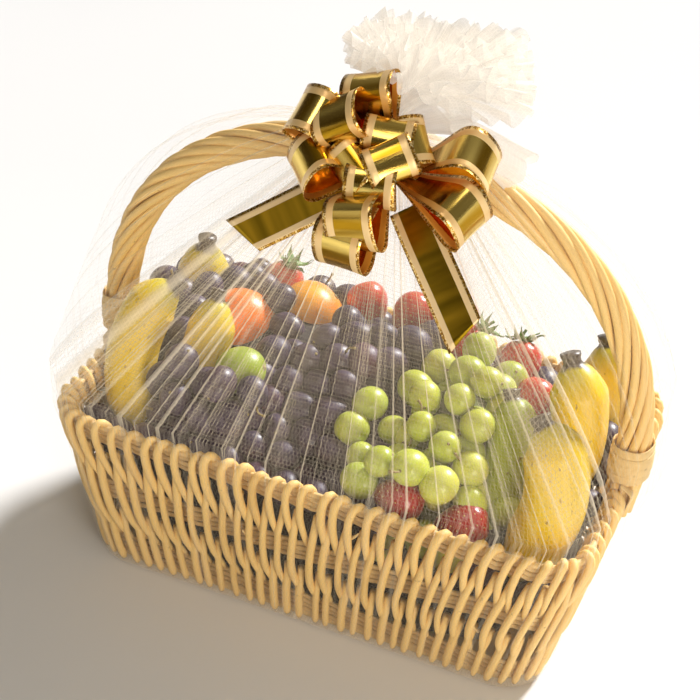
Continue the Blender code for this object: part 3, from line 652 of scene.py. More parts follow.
def mango_finish():
    """Smooth mango skin, yellow-orange with a redder blush on one side."""
    made, tree, shader = finish_named("mango skin", 0.38, Subsurface_Weight=0.08, Coat_Weight=0.2)
    place = object_place(tree)
    blush = levels(tree, noise_on(tree, place, 22, 2), (0.42, 0.0), (0.66, 1.0))
    colour = mixed(tree, blush, (0.94, 0.45, 0.02), (0.90, 0.22, 0.01))
    dots = node(tree, "ShaderNodeTexVoronoi", Vector=place, Scale=420).outputs["Distance"]
    dot = levels(tree, dots, (0.08, 1.0), (0.14, 0.0))
    colour = mixed(tree, math_node(tree, "MULTIPLY", dot, 0.5), colour, (0.95, 0.72, 0.25))
    coloured(tree, shader, colour)
    bump(tree, shader, noise_on(tree, place, 300, 2), 0.1, 0.0003)
    return made


def berry_finish():
    """Strawberry flesh: glossy red, paler towards its shoulder."""
    flesh = {"Subsurface_Weight": 0.12, "Subsurface_Radius": (0.005, 0.001, 0.001)}
    made, tree, shader = finish_named("strawberry", 0.30, Coat_Weight=0.4, Coat_Roughness=0.22, **flesh)
    along = attribute(tree, "tint")
    place = object_place(tree)
    level = math_node(tree, "ADD", along, math_node(tree, "MULTIPLY", noise_on(tree, place, 130, 2), 0.2))
    stops = ((0.10, (0.20, 0.003, 0.006)), (0.55, (0.55, 0.008, 0.010)), (1.02, (0.70, 0.09, 0.04)))
    coloured(tree, shader, ramp(tree, level, stops))
    bump(tree, shader, noise_on(tree, place, 500, 2), 0.15, 0.0003)
    return made


def plain_finish(name, colour, deep, roughness, scale, depth=0.0003, **sockets):
    """A simple natural surface of two near colours with a fine relief."""
    made, tree, shader = finish_named(name, roughness, **sockets)
    place = object_place(tree)
    level = noise_on(tree, place, scale, 3)
    coloured(tree, shader, mixed(tree, level, colour, deep))
    bump(tree, shader, level, 0.3, depth)
    return made


def dark_grape_finish():
    """Black-purple grape skin under a dusty bloom that is rubbed off in places."""
    made, tree, shader = finish_named("dark grape", 0.46, Coat_Weight=0.06, Coat_Roughness=0.3)
    place = object_place(tree)
    skins = ((0.0, (0.012, 0.006, 0.017)), (0.7, (0.036, 0.010, 0.024)), (1.0, (0.13, 0.013, 0.022)))
    skin = ramp(tree, attribute(tree, "tint"), skins)
    bloom = levels(tree, noise_on(tree, place, 120, 4), (0.36, 0.12), (0.66, 0.62))
    skin = mixed(tree, bloom, skin, (0.082, 0.052, 0.118))
    coloured(tree, shader, skin)
    rough = levels(tree, bloom, (0.1, 0.34), (0.7, 0.66))
    tree.links.new(rough, shader.inputs["Roughness"])
    bump(tree, shader, noise_on(tree, place, 400, 2), 0.08, 0.0003)
    return made


def green_grape_finish():
    """Translucent pale green grape skin with a faint bloom and freckles."""
    flesh = {"Subsurface_Weight": 0.28, "Subsurface_Radius": (0.006, 0.008, 0.002)}
    made, tree, shader = finish_named("green grape", 0.36, Coat_Weight=0.10, Coat_Roughness=0.2, **flesh)
    place = object_place(tree)
    skins = ((0.0, (0.37, 0.46, 0.030)), (0.6, (0.52, 0.57, 0.055)), (1.0, (0.66, 0.64, 0.100)))
    skin = ramp(tree, attribute(tree, "tint"), skins)
    bloom = levels(tree, noise_on(tree, place, 90, 3), (0.40, 0.0), (0.70, 0.40))
    skin = mixed(tree, bloom, skin, (0.66, 0.72, 0.26))
    freckle = levels(tree, noise_on(tree, place, 900, 1), (0.72, 0.0), (0.78, 0.5))
    skin = mixed(tree, freckle, skin, (0.35, 0.28, 0.06))
    coloured(tree, shader, skin)
    bump(tree, shader, noise_on(tree, place, 260, 2), 0.06, 0.0003)
    return made


def ribbon_finish(name, bright, dark, stripe, roughness):
    """Ribbon with a metal band between sheer stripes and glitter edges. Its back face is painted a deeper
    orange, for the reflections where gold mirrors gold inside the loops.
    """
    made, tree, shader = finish_named(name, 0.3)
    grain = attribute(tree, "grain")
    tint = attribute(tree, "tint")
    # The back face has tint 0 and takes the painted orange reflection; the shown face has a tint above it.
    shown = levels(tree, tint, (0.03, 0.0), (0.08, 1.0))
    split = node(tree, "ShaderNodeSeparateXYZ", Vector=grain).outputs
    across = math_node(tree, "ABSOLUTE", split[0])
    # Painted reflections: slow streaks of bright and shaded gold along the ribbon stand for the lights and
    # surroundings mirrored in the metal.
    reflection_streaks = noise_on(tree, grain, 1.7, 2, (0.12, 1.0, 1.0))
    reflection_streaks = levels(tree, reflection_streaks, (0.38, 0.0), (0.62, 1.0))
    band = mixed(tree, shown, (0.72, 0.25, 0.008), mixed(tree, reflection_streaks, dark, bright))
    # Painted shade and reflection: as the tint falls towards the knot, the sheer stripes turn from cream to
    # orange, for the gold that shows through them in shade.
    sheer = mixed(tree, shown, (0.80, 0.36, 0.05), mixed(tree, tint, (0.74, 0.33, 0.035), stripe))
    on_stripe = levels(tree, across, (0.0, 0.0), (BAND_HALF, 0.0), (BAND_END, 1.0))
    colour = mixed(tree, on_stripe, band, sheer)
    edge = levels(tree, across, (STRIPE_HALF, 0.0), (STRIPE_END, 1.0))
    sparkle = node(tree, "ShaderNodeTexVoronoi", Vector=grain, Scale=34).outputs["Color"]
    sparkle = node(tree, "ShaderNodeSeparateColor", Color=sparkle).outputs[0]
    sparks = ((0.25, (0.26, 0.11, 0.01)), (0.6, (0.70, 0.38, 0.05)), (0.95, (0.98, 0.78, 0.38)))
    glitter = ramp(tree, sparkle, sparks)
    colour = mixed(tree, edge, colour, glitter)
    coloured(tree, shader, colour)
    metal = levels(tree, across, (BAND_HALF, 1.0), (BAND_END, 0.25), (STRIPE_HALF, 0.25), (STRIPE_END, 0.9))
    tree.links.new(metal, shader.inputs["Metallic"])
    rough = levels(tree, across, (BAND_HALF, roughness), (BAND_END, 0.42), (STRIPE_END, 0.30))
    tree.links.new(rough, shader.inputs["Roughness"])
    bump(tree, shader, noise_on(tree, grain, 5, 3, (0.15, 1.0, 1.0)), 0.35, 0.0006)
    return made


def left_bare(tree, bare, cover):
    """The share that stays bare under one more layer of this cover."""
    return math_node(tree, "MULTIPLY", bare, math_node(tree, "SUBTRACT", 1.0, cover, clamp=True))


def net_finish(name, colour, glow, thin, thick, lines, bands):
    """White tulle: crossing threads, with fold lines and doubled bands that fan out from the neck.

    Light from behind scatters through the threads, which the faint glow of their own colour stands for.
    """
    made, tree, shader = finish_named(name, 0.6)
    shader.inputs["Base Color"].default_value = (*colour, 1.0)
    shader.inputs["Emission Color"].default_value = (*colour, 1.0)
    shader.inputs["Emission Strength"].default_value = glow
    grain = attribute(tree, "grain")
    split = node(tree, "ShaderNodeSeparateXYZ", Vector=grain).outputs
    turns = math.pi / NET_PITCH
    threads = 0.0
    for sideways, upward in NET_THREADS:
        along = math_node(tree, "MULTIPLY", split[0], sideways * turns)
        run = math_node(tree, "ADD", along, math_node(tree, "MULTIPLY", split[2], upward * turns))
        away = math_node(tree, "ABSOLUTE", math_node(tree, "SINE", run))
        thread = levels(tree, away, (0.14, 1.0), (0.40, 0.0))
        threads = math_node(tree, "MAXIMUM", thread, threads)
    facing = math_node(tree, "MULTIPLY_ADD", split[1], 0.9, clamp=True)
    facing.node.inputs[2].default_value = 0.12
    level = math_node(tree, "MULTIPLY_ADD", math_node(tree, "MULTIPLY", threads, facing), thick)
    level.node.inputs[2].default_value = thin
    # The lines draw nearer together towards the neck.
    gather = math_node(tree, "MULTIPLY_ADD", split[2], 0.6 / NET_SLANT)
    gather.node.inputs[2].default_value = 0.4
    bare = math_node(tree, "SUBTRACT", 1.0, attribute(tree, "tint"), clamp=True)
    bare = left_bare(tree, bare, level)
    # Fold lines where a noise that hardly changes along them crosses its middle, in two sizes.
    for scale, drift, width, strength in ((60, 0.014, 0.012, lines), (130, 0.008, 0.016, lines * 0.7)):
        wave = noise_on(tree, grain, scale, 1, (1.0, 0.0, drift))
        close = math_node(tree, "ABSOLUTE", math_node(tree, "SUBTRACT", wave, 0.5))
        close = math_node(tree, "MULTIPLY", close, gather)
        line = levels(tree, close, (0.0, 1.0), (width, 0.3), (width * 3, 0.0))
        fade = noise_on(tree, grain, 22, 1, (1.0, 0.0, 0.4))
        fade = levels(tree, fade, (0.38, 0.10), (0.62, 1.0))
        fade = math_node(tree, "MULTIPLY", fade, split[1])
        line = math_node(tree, "MULTIPLY", math_node(tree, "MULTIPLY", line, fade), strength)
        bare = left_bare(tree, bare, line)
    wide = levels(tree, noise_on(tree, grain, 34, 2, (1.0, 0.0, 0.02)), (0.42, 0.0), (0.60, 1.0))
    band = math_node(tree, "MULTIPLY", math_node(tree, "MULTIPLY", wide, attribute(tree, "layers")), bands)
    bare = left_bare(tree, bare, band)
    tree.links.new(math_node(tree, "SUBTRACT", 1.0, bare, clamp=True), shader.inputs["Alpha"])
    return made


def make_finishes():
    gold, shaded_gold, gold_stripe = (1.0, 0.74, 0.20), (0.44, 0.24, 0.012), (0.90, 0.64, 0.30)
    # The tails are the same gold ribbon as the loops: their darker gold is painted shade.
    tail_gold_in_shade, tail_gold_in_deeper_shade, tail_stripe = (0.50, 0.30, 0.020), (0.24, 0.15, 0.008), (0.86, 0.64, 0.34)
    return {
        "willow": willow_finish("willow", (0.86, 0.58, 0.20), (0.60, 0.345, 0.088), (0.24, 0.115, 0.026)),
        "cane": willow_finish("flat cane", (0.76, 0.53, 0.22), (0.48, 0.29, 0.095), (0.18, 0.09, 0.025)),
        "banana": banana_finish("banana skin", (0.88, 0.60, 0.005), (0.50, 0.50, 0.02), 0.0),
        "green_banana": banana_finish("green banana skin", (0.62, 0.60, 0.03), (0.22, 0.38, 0.02), 0.8),
        "orange": citrus_finish("orange peel", (0.95, 0.24, 0.004), (0.88, 0.17, 0.003), 520),
        "lime": citrus_finish("lime peel", (0.36, 0.44, 0.035), (0.28, 0.38, 0.025), 700),
        "mango": mango_finish(),
        "strawberry": berry_finish(),
        "seed": plain_finish("seed", (0.72, 0.52, 0.16), (0.50, 0.32, 0.08), 0.4, 900),
        "leaf": plain_finish("leaf", (0.16, 0.30, 0.05), (0.08, 0.18, 0.03), 0.55, 260),
        "stem": plain_finish("stem", (0.36, 0.28, 0.10), (0.20, 0.14, 0.05), 0.7, 700),
        "dark_grape": dark_grape_finish(),
        "green_grape": green_grape_finish(),
        "ribbon": ribbon_finish("gold ribbon", gold, shaded_gold, gold_stripe, 0.20),
        "tail": ribbon_finish("gold ribbon tail", tail_gold_in_shade, tail_gold_in_deeper_shade, tail_stripe, 0.30),
        # Both nets are white tulle: their cream colour is painted warm light reflected onto them in shade,
        # and their glow is painted light scattered through them from behind; the frill's colour is greyer to
        # make room for its stronger glow.
        "net": net_finish("tulle", (1.0, 0.87, 0.66), 0.12, 0.0, 0.25, 0.52, 0.26),
        "frill": net_finish("tulle frill", (0.76, 0.72, 0.66), 0.32, 0.54, 0.08, 0.30, 0.3),
    }


def rod_path(share, rows):
    """A path in the wall from rows of (sideways in pitches, height, depth from the outer face)."""
    points = []
    for sideways, height, depth in rows:
        points.append(wall_point(share + sideways * STAKE_PITCH, height, depth)[0])
    return smooth_path(points, STAKE_RINGS)


# The three tiers of the wall's stakes, as (sideways in pitches, height, depth from the outer face).
LOOP_ROWS = (
    (0.60, RIM_HEIGHT - 0.018, -0.0095),
    (0.52, RIM_HEIGHT - 0.008, -0.0090),
    (0.38, RIM_HEIGHT - 0.0028, -0.0065),
    (0.20, RIM_HEIGHT - 0.0026, -0.0028),
    (0.07, RIM_HEIGHT - 0.0072, 0.0),
    (0.00, RIM_HEIGHT - 0.015, 0.0006),
    (0.00, RIM_HEIGHT - 0.026, 0.0004),
    (0.10, RIM_HEIGHT - 0.038, -0.0006),
    (0.26, RIM_HEIGHT - 0.050, -0.0026),
    (0.36, RIM_HEIGHT - 0.057, -0.0042),
)
MIDDLE_ROWS = (
    (0.30, RIM_HEIGHT - 0.024, -0.0044),
    (0.22, RIM_HEIGHT - 0.034, -0.0024),
    (0.10, RIM_HEIGHT - 0.046, -0.0002),
    (0.00, RIM_HEIGHT - 0.060, 0.0007),
    (-0.04, RIM_HEIGHT - 0.074, 0.0007),
    (0.06, RIM_HEIGHT - 0.086, -0.0002),
    (0.30, RIM_HEIGHT - 0.096, -0.0022),
    (0.52, RIM_HEIGHT - 0.104, -0.0044),
)
FOOT_ROWS = (
    (0.04, 0.050, -0.0046),
    (0.02, 0.040, -0.0026),
    (0.00, 0.030, -0.0010),
    (0.00, 0.016, -0.0004),
    (0.00, 0.0030, -0.0008),
)

# The flat strips woven behind the stakes: height, depth from the outer face, and width.
STRIPS = (
    (RIM_HEIGHT - 0.0090, -0.0048, 0.0036),
    (RIM_HEIGHT - 0.0135, -0.0046, 0.0036),
    (RIM_HEIGHT - 0.0180, -0.0049, 0.0034),
    (0.0735, -0.0048, 0.0036),
    (0.0690, -0.0045, 0.0036),
    (0.0645, -0.0048, 0.0036),
    (0.0600, -0.0046, 0.0034),
    (0.0215, -0.0046, 0.0036),
    (0.0170, -0.0044, 0.0036),
    (0.0125, -0.0047, 0.0036),
    (0.0080, -0.0044, 0.0036),
)


def wall_rod(shape, draw, rows, place, radius, foot):
    """One rod of the wall from its rows, a little uneven; only a foot keeps its height and full thickness."""
    slip = draw.gauss(0, 0.09)
    lean = draw.gauss(0, 0.07)
    drop = 0.0 if foot else draw.gauss(0, 0.0016)
    varied = []
    for row, (sideways, height, depth) in enumerate(rows):
        sideways += lean * (row / (len(rows) - 1) - 0.4) + draw.gauss(0, 0.018)
        lowered = drop * min(1.0, row / 3) if not foot else 0.0
        varied.append((sideways, height + lowered, depth + draw.gauss(0, 0.00012)))
    path = rod_path((place + slip) * STAKE_PITCH, varied)
    size = radius * draw.uniform(0.86, 1.10)
    # The last third of a stake tapers where it runs behind the next tier.
    radii = [size * (1.0 - 0.32 * max(0.0, (i - 9) / 5) * (not foot)) for i in range(STAKE_RINGS)]
    radii[-1] *= 0.7
    tint = min(1.0, max(0.0, draw.gauss(0.55, 0.22)))
    tube(shape, path, radii, 8, tint, seed=draw.uniform(0, 5))


def wicker_stakes(draw, finishes):
    """The upright rods of the wall in three tiers, the top one looped over the border."""
    loops, stakes = Shape(), Shape()
    for k in range(STAKES):
        wall_rod(loops, draw, LOOP_ROWS, k, STAKE_RADIUS * 1.08, False)
        wall_rod(stakes, draw, MIDDLE_ROWS, k + 0.42, STAKE_RADIUS, False)
        wall_rod(stakes, draw, FOOT_ROWS, k + 0.74, STAKE_RADIUS * 1.03, True)
    loops.piece("wicker_loops", [finishes["willow"]], "willow", ["basket_rim"])
    stakes.piece("wicker_stakes", [finishes["willow"]], "willow", ["basket_wall"])


def wicker_weavers(draw, finishes):
    """The strips woven behind the stakes, the border rod that the loops hold, and the cut ends."""
    weavers = Shape()
    count = 2 * STAKES
    for height, depth, width in STRIPS:
        wander = draw.uniform(0, 100)
        path, outs = [], []
        for k in range(count):
            wave = 0.0006 * (1 if k % 2 else -1)
            rise = 0.0007 * wobble(k * 0.23, wander, 0.0)
            at, out = wall_point(k / count, height + rise, depth + wave)
            path.append(at)
            outs.append(out)
        strap(weavers, path, outs, width, CANE_THICKNESS, draw.uniform(0.25, 0.65), closed=True, seed=wander)
    border = [wall_point(k / count, RIM_HEIGHT - 0.0060, -0.0056)[0] for k in range(count + 1)]
    tube(weavers, border, [0.0021] * len(border), 8, 0.6, ends=False)
    for share, height, lean in STRIP_ENDS:
        rows = ((0.0, height, -0.004), (lean * 0.5, height + 0.006, 0.0), (lean, height + 0.013, 0.0026))
        path = rod_path(share, rows)
        tube(weavers, path, [0.0016 * (1 - 0.05 * i) for i in range(len(path))], 6, 0.7)
    weavers.piece("wicker_weavers", [finishes["cane"]], "cane")


def base_board(finishes):
    """The woven board: flat strips over a thin board, under and inside the basket."""
    board = Shape()
    columns = 72
    length, width = BASE_LENGTH - WALL_THICKNESS, BASE_WIDTH - WALL_THICKNESS
    ring = [outline(length, width, BASE_CORNER, k / columns)[0] for k in range(columns)]
    points = [(p.x, p.y, z) for z in (0.0022, 0.0070) for p in ring]
    board.add(points, grid_faces(2, columns) + end_caps(2, columns), 0.35)
    draw = random.Random(5)
    rows = 17
    for k in range(rows):
        y = (k - (rows - 1) / 2) * 0.0092
        reach = BASE_LENGTH / 2 - 0.009 - (0.010 if abs(y) > 0.068 else 0.0)
        path, outs = [], []
        steps = 60
        for i in range(steps):
            x = reach * (2 * i / (steps - 1) - 1)
            wave = 0.0006 * math.sin(i * math.pi / 2 + k * math.pi)
            path.append(Vector((x, y, 0.0014 + wave * 0.5)))
            outs.append(Vector((0.0, 0.0, -1.0)))
        strap(board, path, outs, 0.0080, CANE_THICKNESS, draw.uniform(0.3, 0.7), seed=draw.uniform(0, 9))
    board.piece("base_board", [finishes["cane"]], "willow", ["basket_base"])


def arch_point(angle):
    """Point of the handle's arch: 0 is its left foot and pi its right foot."""
    across, up = math.cos(angle), max(math.sin(angle), 0.0)
    reach = HANDLE_HALF_SPAN * abs(across) ** HANDLE_ROUNDNESS - HANDLE_FOOT_TUCK * (1 - up) ** 2
    foot = RIM_HEIGHT + 0.0003
    height = foot + (HANDLE_TOP - foot) * up**HANDLE_ROUNDNESS
    return Vector((-math.copysign(reach, across), HANDLE_Y, height))


def handle(finishes):
    """Willow rods twisted into one thick arch, their feet pushed down into the wall."""
    shape = Shape()
    draw = random.Random(7)
    steps = 110
    middle = [arch_point(math.pi * k / (steps - 1)) for k in range(steps)]
    for rod in range(HANDLE_RODS):
        phase = 2 * math.pi * rod / HANDLE_RODS
        wander = draw.uniform(0, 50)
        size = draw.uniform(*HANDLE_ROD_SIZES)
        path, radii = [], []
        for k in range(steps):
            before, after = middle[max(k - 1, 0)], middle[min(k + 1, steps - 1)]
            ahead = (after - before).normalized()
            side = Vector((0.0, 1.0, 0.0))
            up = ahead.cross(side)
            share = k / (steps - 1)
            stray = 0.22 * wobble(k * 0.06, wander, 0)
            angle = phase + 2 * math.pi * HANDLE_TURNS * share + stray
            reach = HANDLE_RADIUS - size + 0.0004 * wobble(k * 0.1, wander, 7.0)
            path.append(middle[k] + (side * math.cos(angle) + up * math.sin(angle)) * reach)
            radii.append(size * (1 + 0.06 * wobble(k * 0.15, wander, 3.0)))
        # Both ends run on down into the wall.
        feet = [at + Vector((-math.copysign(0.003, at.x), 0.0, -0.024)) for at in (path[0], path[-1])]
        path = [feet[0]] + path + [feet[1]]
        radii = [radii[0]] + radii + [radii[-1]]
        tube(shape, path, radii, 10, min(1.0, max(0.1, draw.gauss(0.6, 0.18))), seed=draw.uniform(0, 9))
    # A core rod inside the twist in the darkest willow: painted shade in the grooves between the rods.
    tube(shape, middle, [HANDLE_RADIUS * 0.55] * steps, 8, 0.1)
    shape.piece("handle_rods", [finishes["willow"]], "willow", ["handle"])


def handle_binding(name, side, finishes):
    """Flat cane wrapped round a foot of the handle, its ends tucked over the rim."""
    shape = Shape()
    draw = random.Random(name)
    low = RIM_HEIGHT + 0.0015
    turns = 4.2
    steps = 110
    path, outs = [], []
    for k in range(steps):
        share = k / (steps - 1)
        height = low + 0.003 + (BINDING_HEIGHT - 0.007) * share
        rise = (height - RIM_HEIGHT) / (HANDLE_TOP - RIM_HEIGHT)
        leg = arch_point(math.asin(rise ** (1 / HANDLE_ROUNDNESS)))
        angle = 2 * math.pi * turns * share + 0.4
        out = Vector((math.cos(angle), math.sin(angle), 0.0))
        swell = HANDLE_RADIUS + 0.0014 + 0.0010 * math.sin(math.pi * share) + 0.0004 * math.sin(5 * angle)
        path.append(Vector((side * abs(leg.x), HANDLE_Y, height)) + out * swell)
        outs.append(out)
    strap(shape, path, outs, 0.0082, BINDING_THICKNESS, 0.62, seed=1.0)
    for offset in (-0.011, -0.0035, 0.004, 0.0115):
        y = HANDLE_Y + offset + draw.uniform(-0.0008, 0.0008)
        share = (0.25 if side > 0 else 0.75) + side * y / RIM_PERIMETER
        rows = ((0.004, -0.0060), (0.0022, -0.0030), (-0.002, 0.0030), (-0.012, 0.0034), (-0.026, 0.0022))
        points = [wall_point(share, RIM_HEIGHT + up, depth)[0] for up, depth in rows]
        run = smooth_path(points, 14)
        facing = [Vector((side * 0.8, 0.0, 0.6))] * 4 + [Vector((side, 0.0, 0.1))] * 10
        strap(shape, run, facing, 0.0064, BINDING_THICKNESS, draw.uniform(0.4, 0.8), seed=offset)
    shape.piece(name + "_wraps", [finishes["cane"]], "cane", [name])


def banana(name, finishes):
    """A banana with five soft edges, a dry tip that shows and a tapering end."""
    radius, path = BANANAS[name]
    shape = Shape()
    rings, sides = 48, 25
    middle = smooth_path(path, rings)
    seed = len(name) * 0.37 + radius * 900
    points, grain, tints = [], [], []
    length = 0.0
    for k, (_, side, up) in enumerate(frames_along(middle)):
        share = k / (rings - 1)
        if k:
            length += (middle[k] - middle[k - 1]).length
        swell = min(1.0, 0.29 + 1.9 * max(0.0, share - DRY_TIP) ** 0.62, 0.30 + 2.4 * (1 - share) ** 0.75)
        if share < DRY_TIP:
            swell = 0.36 - 0.07 * share / DRY_TIP + 0.03 * wobble(seed, share * 60, 0.0)
        for s in range(sides):
            angle = 2 * math.pi * s / sides
            turn = (angle + 0.4) % (2 * math.pi / 5) - math.pi / 5
            edge = math.cos(math.pi / 5) / math.cos(turn)
            wide = radius * swell * (0.70 + 0.30 * edge / 0.93)
            wide *= 1 + 0.012 * wobble(seed, share * 6, math.cos(angle))
            points.append(middle[k] + (side * math.cos(angle) + up * math.sin(angle)) * wide)
            grain.append((wide * math.cos(angle) + seed, wide * math.sin(angle), length))
            tints.append(share)
    shape.add(points, grid_faces(rings, sides) + end_caps(rings, sides), tints, grain)
    skin = "green_banana" if name.endswith("green") else "banana"
    shape.piece(name + "_fruit", [finishes[skin]], skin, [name])


def ball(shape, centre, halves, turn, segments, rings, tint=0.5, slot=0, dent=0.0):
    """An ellipsoid with quads between its rings and a dimple at its upper pole."""
    points = [Vector((0.0, 0.0, 1.0 - dent))]
    for polar, x, y, z in ball_rings(segments, rings):
        points.append(Vector((x, y, z - dent * math.exp(-((polar / 0.30) ** 2)))))
    points.append(Vector((0.0, 0.0, -1.0)))
    placed = [centre + turn @ Vector((p.x * halves[0], p.y * halves[1], p.z * halves[2])) for p in points]
    shape.add(placed, ball_faces(segments, rings), tint, None, slot)


def round_fruit(name, finishes):
    """Orange, mango or lime, with its dimple and the small stub of its stem."""
    centre, halves = ROUND_FRUIT[name]
    shape = Shape()
    aim = {"orange": (-0.3, -0.5, 1.0), "mango": (0.6, 0.5, 0.6), "lime": (0.9, 0.2, 0.3)}[name]
    turn = Vector(aim).normalized().to_track_quat("Z", "Y").to_matrix()
    swapped = (halves[0], halves[2], halves[1])
    ball(shape, Vector(centre), swapped, turn, 48, 30, dent=0.07)
    tip = Vector(centre) + turn @ Vector((0.0, 0.0, swapped[2] * 0.94))
    ball(shape, tip, (0.0022, 0.0022, 0.0010), turn, 10, 6, slot=1)
    shape.piece(name + "_fruit", [finishes[name], finishes["stem"]], name, [name])


def strawberry(name, finishes):
    """A strawberry with pits, and a pale seed in each."""
    centre, direction = STRAWBERRIES[name]
    turn = Vector(direction).normalized().to_track_quat("Z", "Y").to_matrix()
    centre = Vector(centre)
    shape = Shape()
    segments, rings = 44, 30
    # Painted shade: the shaded berries take a darker red all over.
    painted_light_share = 0.35 if name in SHADED_BERRIES else 1.0

    def surface(polar, angle):
        z = math.cos(polar)
        taper = 0.86 + 0.26 * z - 0.12 * z * z
        flat = math.sin(polar) * STRAWBERRY_RADIUS * taper
        shoulder = -0.0022 * math.exp(-((polar / 0.35) ** 2))
        return Vector((flat * math.cos(angle), flat * math.sin(angle), z * STRAWBERRY_LENGTH / 2 + shoulder))

    seeds = []
    for k in range(PITS):
        polar = math.acos(1 - 2 * (k + 0.5) / PITS)
        if polar > 0.42:
            seeds.append((polar, k * math.pi * (3 - math.sqrt(5))))
    places = [surface(polar, angle) for polar, angle in seeds]
    pits = np.array(places)
    points, tints = [], []
    for row in range(rings + 1):
        polar = math.pi * min(max(row / rings, 0.004), 0.996)
        for column in range(segments):
            at = surface(polar, 2 * math.pi * column / segments)
            nearest = float(np.linalg.norm(pits - np.array(at), axis=1).min())
            pit = PIT_DEPTH * math.exp(-((nearest / PIT_RADIUS) ** 2))
            points.append(centre + turn @ (at * (1 - pit / max(at.length, 0.004))))
            tints.append((0.5 + 0.5 * math.cos(polar)) * painted_light_share)
    faces = grid_faces(rings + 1, segments) + end_caps(rings + 1, segments)
    shape.add(points, [tuple(reversed(face)) for face in faces], tints)
    for (polar, angle), at in zip(seeds, places):
        lie = turn @ (surface(polar, angle) - surface(polar, angle) * 0.8).normalized()
        seat = centre + turn @ (at * 0.985)
        ball(shape, seat, SEED_HALVES, lie.to_track_quat("Z", "Y").to_matrix(), 6, 4, slot=1)
    shape.piece(name + "_fruit", [finishes["strawberry"], finishes["seed"]], "strawberry", [name])


def strawberry_leaves(berry, finishes):
    """The pointed leaves of a strawberry, thin and wavy, and the stub of its stalk."""
    centre, direction = STRAWBERRIES[berry]
    axis = Vector(direction).normalized()
    turn = axis.to_track_quat("Z", "Y").to_matrix()
    foot = Vector(centre) + axis * (STRAWBERRY_LENGTH / 2 - 0.0012)
    shape = Shape()
    draw = random.Random(berry)
    for leaf in range(9):
        heading = 2 * math.pi * leaf / 9 + draw.uniform(-0.2, 0.2)
        length = draw.uniform(0.010, 0.0155)
        curl = draw.uniform(0.15, 0.95)
        cos, sin = math.cos(heading), math.sin(heading)
        rows, across = 9, 5
        points = []
        for side in (1, -1):
            for row in range(rows):
                t = row / (rows - 1)
                half = 0.0026 * math.sin(math.pi * (0.12 + 0.88 * t) ** 0.8) * (1 - t**4) + 0.00015
                for c in range(across):
                    w = 2 * c / (across - 1) - 1
                    rise = length * (curl * t * t + 0.12 * math.sin(t * 5 + leaf)) + 0.0007 * abs(w)
                    out = length * t * (1 - 0.25 * curl * t) + 0.0012
                    flat = Vector((out, w * half, rise + side * LEAF_THICKNESS / 2))
                    x, y = flat.x * cos - flat.y * sin, flat.x * sin + flat.y * cos
                    points.append(foot + turn @ Vector((x, y, flat.z)))
        shape.add(points, sheet_faces(rows, across), 0.5)
    stalk = smooth_path([foot, foot + axis * 0.004, foot + axis * 0.008 + Vector((0.002, 0.0, 0.0))], 7)
    tube(shape, stalk, [0.0010] * 7, 8)
    shape.piece("leaves_on_" + berry, [finishes["leaf"]], "leaf", ["leaves_of_" + berry])


def heap_height(name, x, y):
    """Height of a heap's upper surface. The dark one rises to the back and steps down at its right."""
    (cx, cy), (half_x, half_y), square = HEAPS[name]
    reach = min(1.0, abs((x - cx) / half_x) ** square + abs((y - cy) / half_y) ** square)
    if name == "grapes_green":
        return GREEN_EDGE + (GREEN_CROWN - GREEN_EDGE) * (1 - reach) ** 0.6 + GREEN_SLOPE * (y - cy)
    climb = min(1.0, max(0.0, (y + half_y) / (DARK_CREST_Y + half_y)))
    rise = DARK_RISE * climb * climb * (3 - 2 * climb) - 0.25 * max(0.0, y - DARK_CREST_Y)
    step = DARK_STEP * min(1.0, max(0.0, (x - 0.02) / 0.03))
    (lean_x, lean_y), (wide_x, wide_y), lift = LEANING_PILE
    pile = lift * math.exp(-(((x - lean_x) / wide_x) ** 2) - ((y - lean_y) / wide_y) ** 2)
    return DARK_FRONT + rise - step - 0.012 * reach + pile


def heap_point(name, direction, sink=0.0):
    """Point of a heap's surface in this direction from its middle."""
    (cx, cy), (half_x, half_y), square = HEAPS[name]
    flat = math.hypot(direction.x, direction.y)
    floor = GREEN_FOOT if name == "grapes_green" else BASE_THICKNESS + 0.0006
    waist = max(HEAP_WAIST, floor + 0.02)
    across, along = direction.x / max(flat, 1e-6), direction.y / max(flat, 1e-6)
    edge = max(abs(across) ** square + abs(along) ** square, 0.01) ** (-1 / square)
    spread = edge * min(1.0, flat**0.55 * 1.06)
    if direction.z < -0.3:
        spread *= 0.86
    x, y = cx + (half_x - sink / 2) * across * spread, cy + (half_y - sink / 2) * along * spread
    if direction.z >= 0:
        return Vector((x, y, waist + (heap_height(name, x, y) - sink - waist) * min(1.0, 1.6 * direction.z)))
    return Vector((x, y, waist + (floor - waist) * min(1.0, -2.0 * direction.z)))


def fruit_spheres():
    """Centres and radii that stand for the fruit which the grapes make room for."""
    spheres = []
    for radius, path in BANANAS.values():
        spheres += [(at, radius) for at in smooth_path(path, 12)]
    for centre, halves in ROUND_FRUIT.values():
        spheres.append((Vector(centre), sum(halves) / 3))
    for centre, _ in STRAWBERRIES.values():
        spheres.append((Vector(centre), STRAWBERRY_RADIUS))
    return np.array([(*at, radius) for at, radius in spheres])


def push_from_others(at, reach):
    """For each of these places, the sum of its steps away from the others that lie within this reach."""
    gap = at[:, None, :] - at[None, :, :]
    far = np.linalg.norm(gap, axis=2) + np.eye(len(at))
    return (np.maximum(0.0, reach - far)[:, :, None] * gap / far[:, :, None]).sum(1)


def push_from_fruit(at, spheres, room):
    """For each of these places, the sum of its steps away from the large fruit, which keeps this room."""
    away = at[:, None, :] - spheres[None, :, :3]
    near = np.linalg.norm(away, axis=2)
    short = np.maximum(0.0, spheres[None, :, 3] + room - near)
    return (short[:, :, None] * away / near[:, :, None]).sum(1)


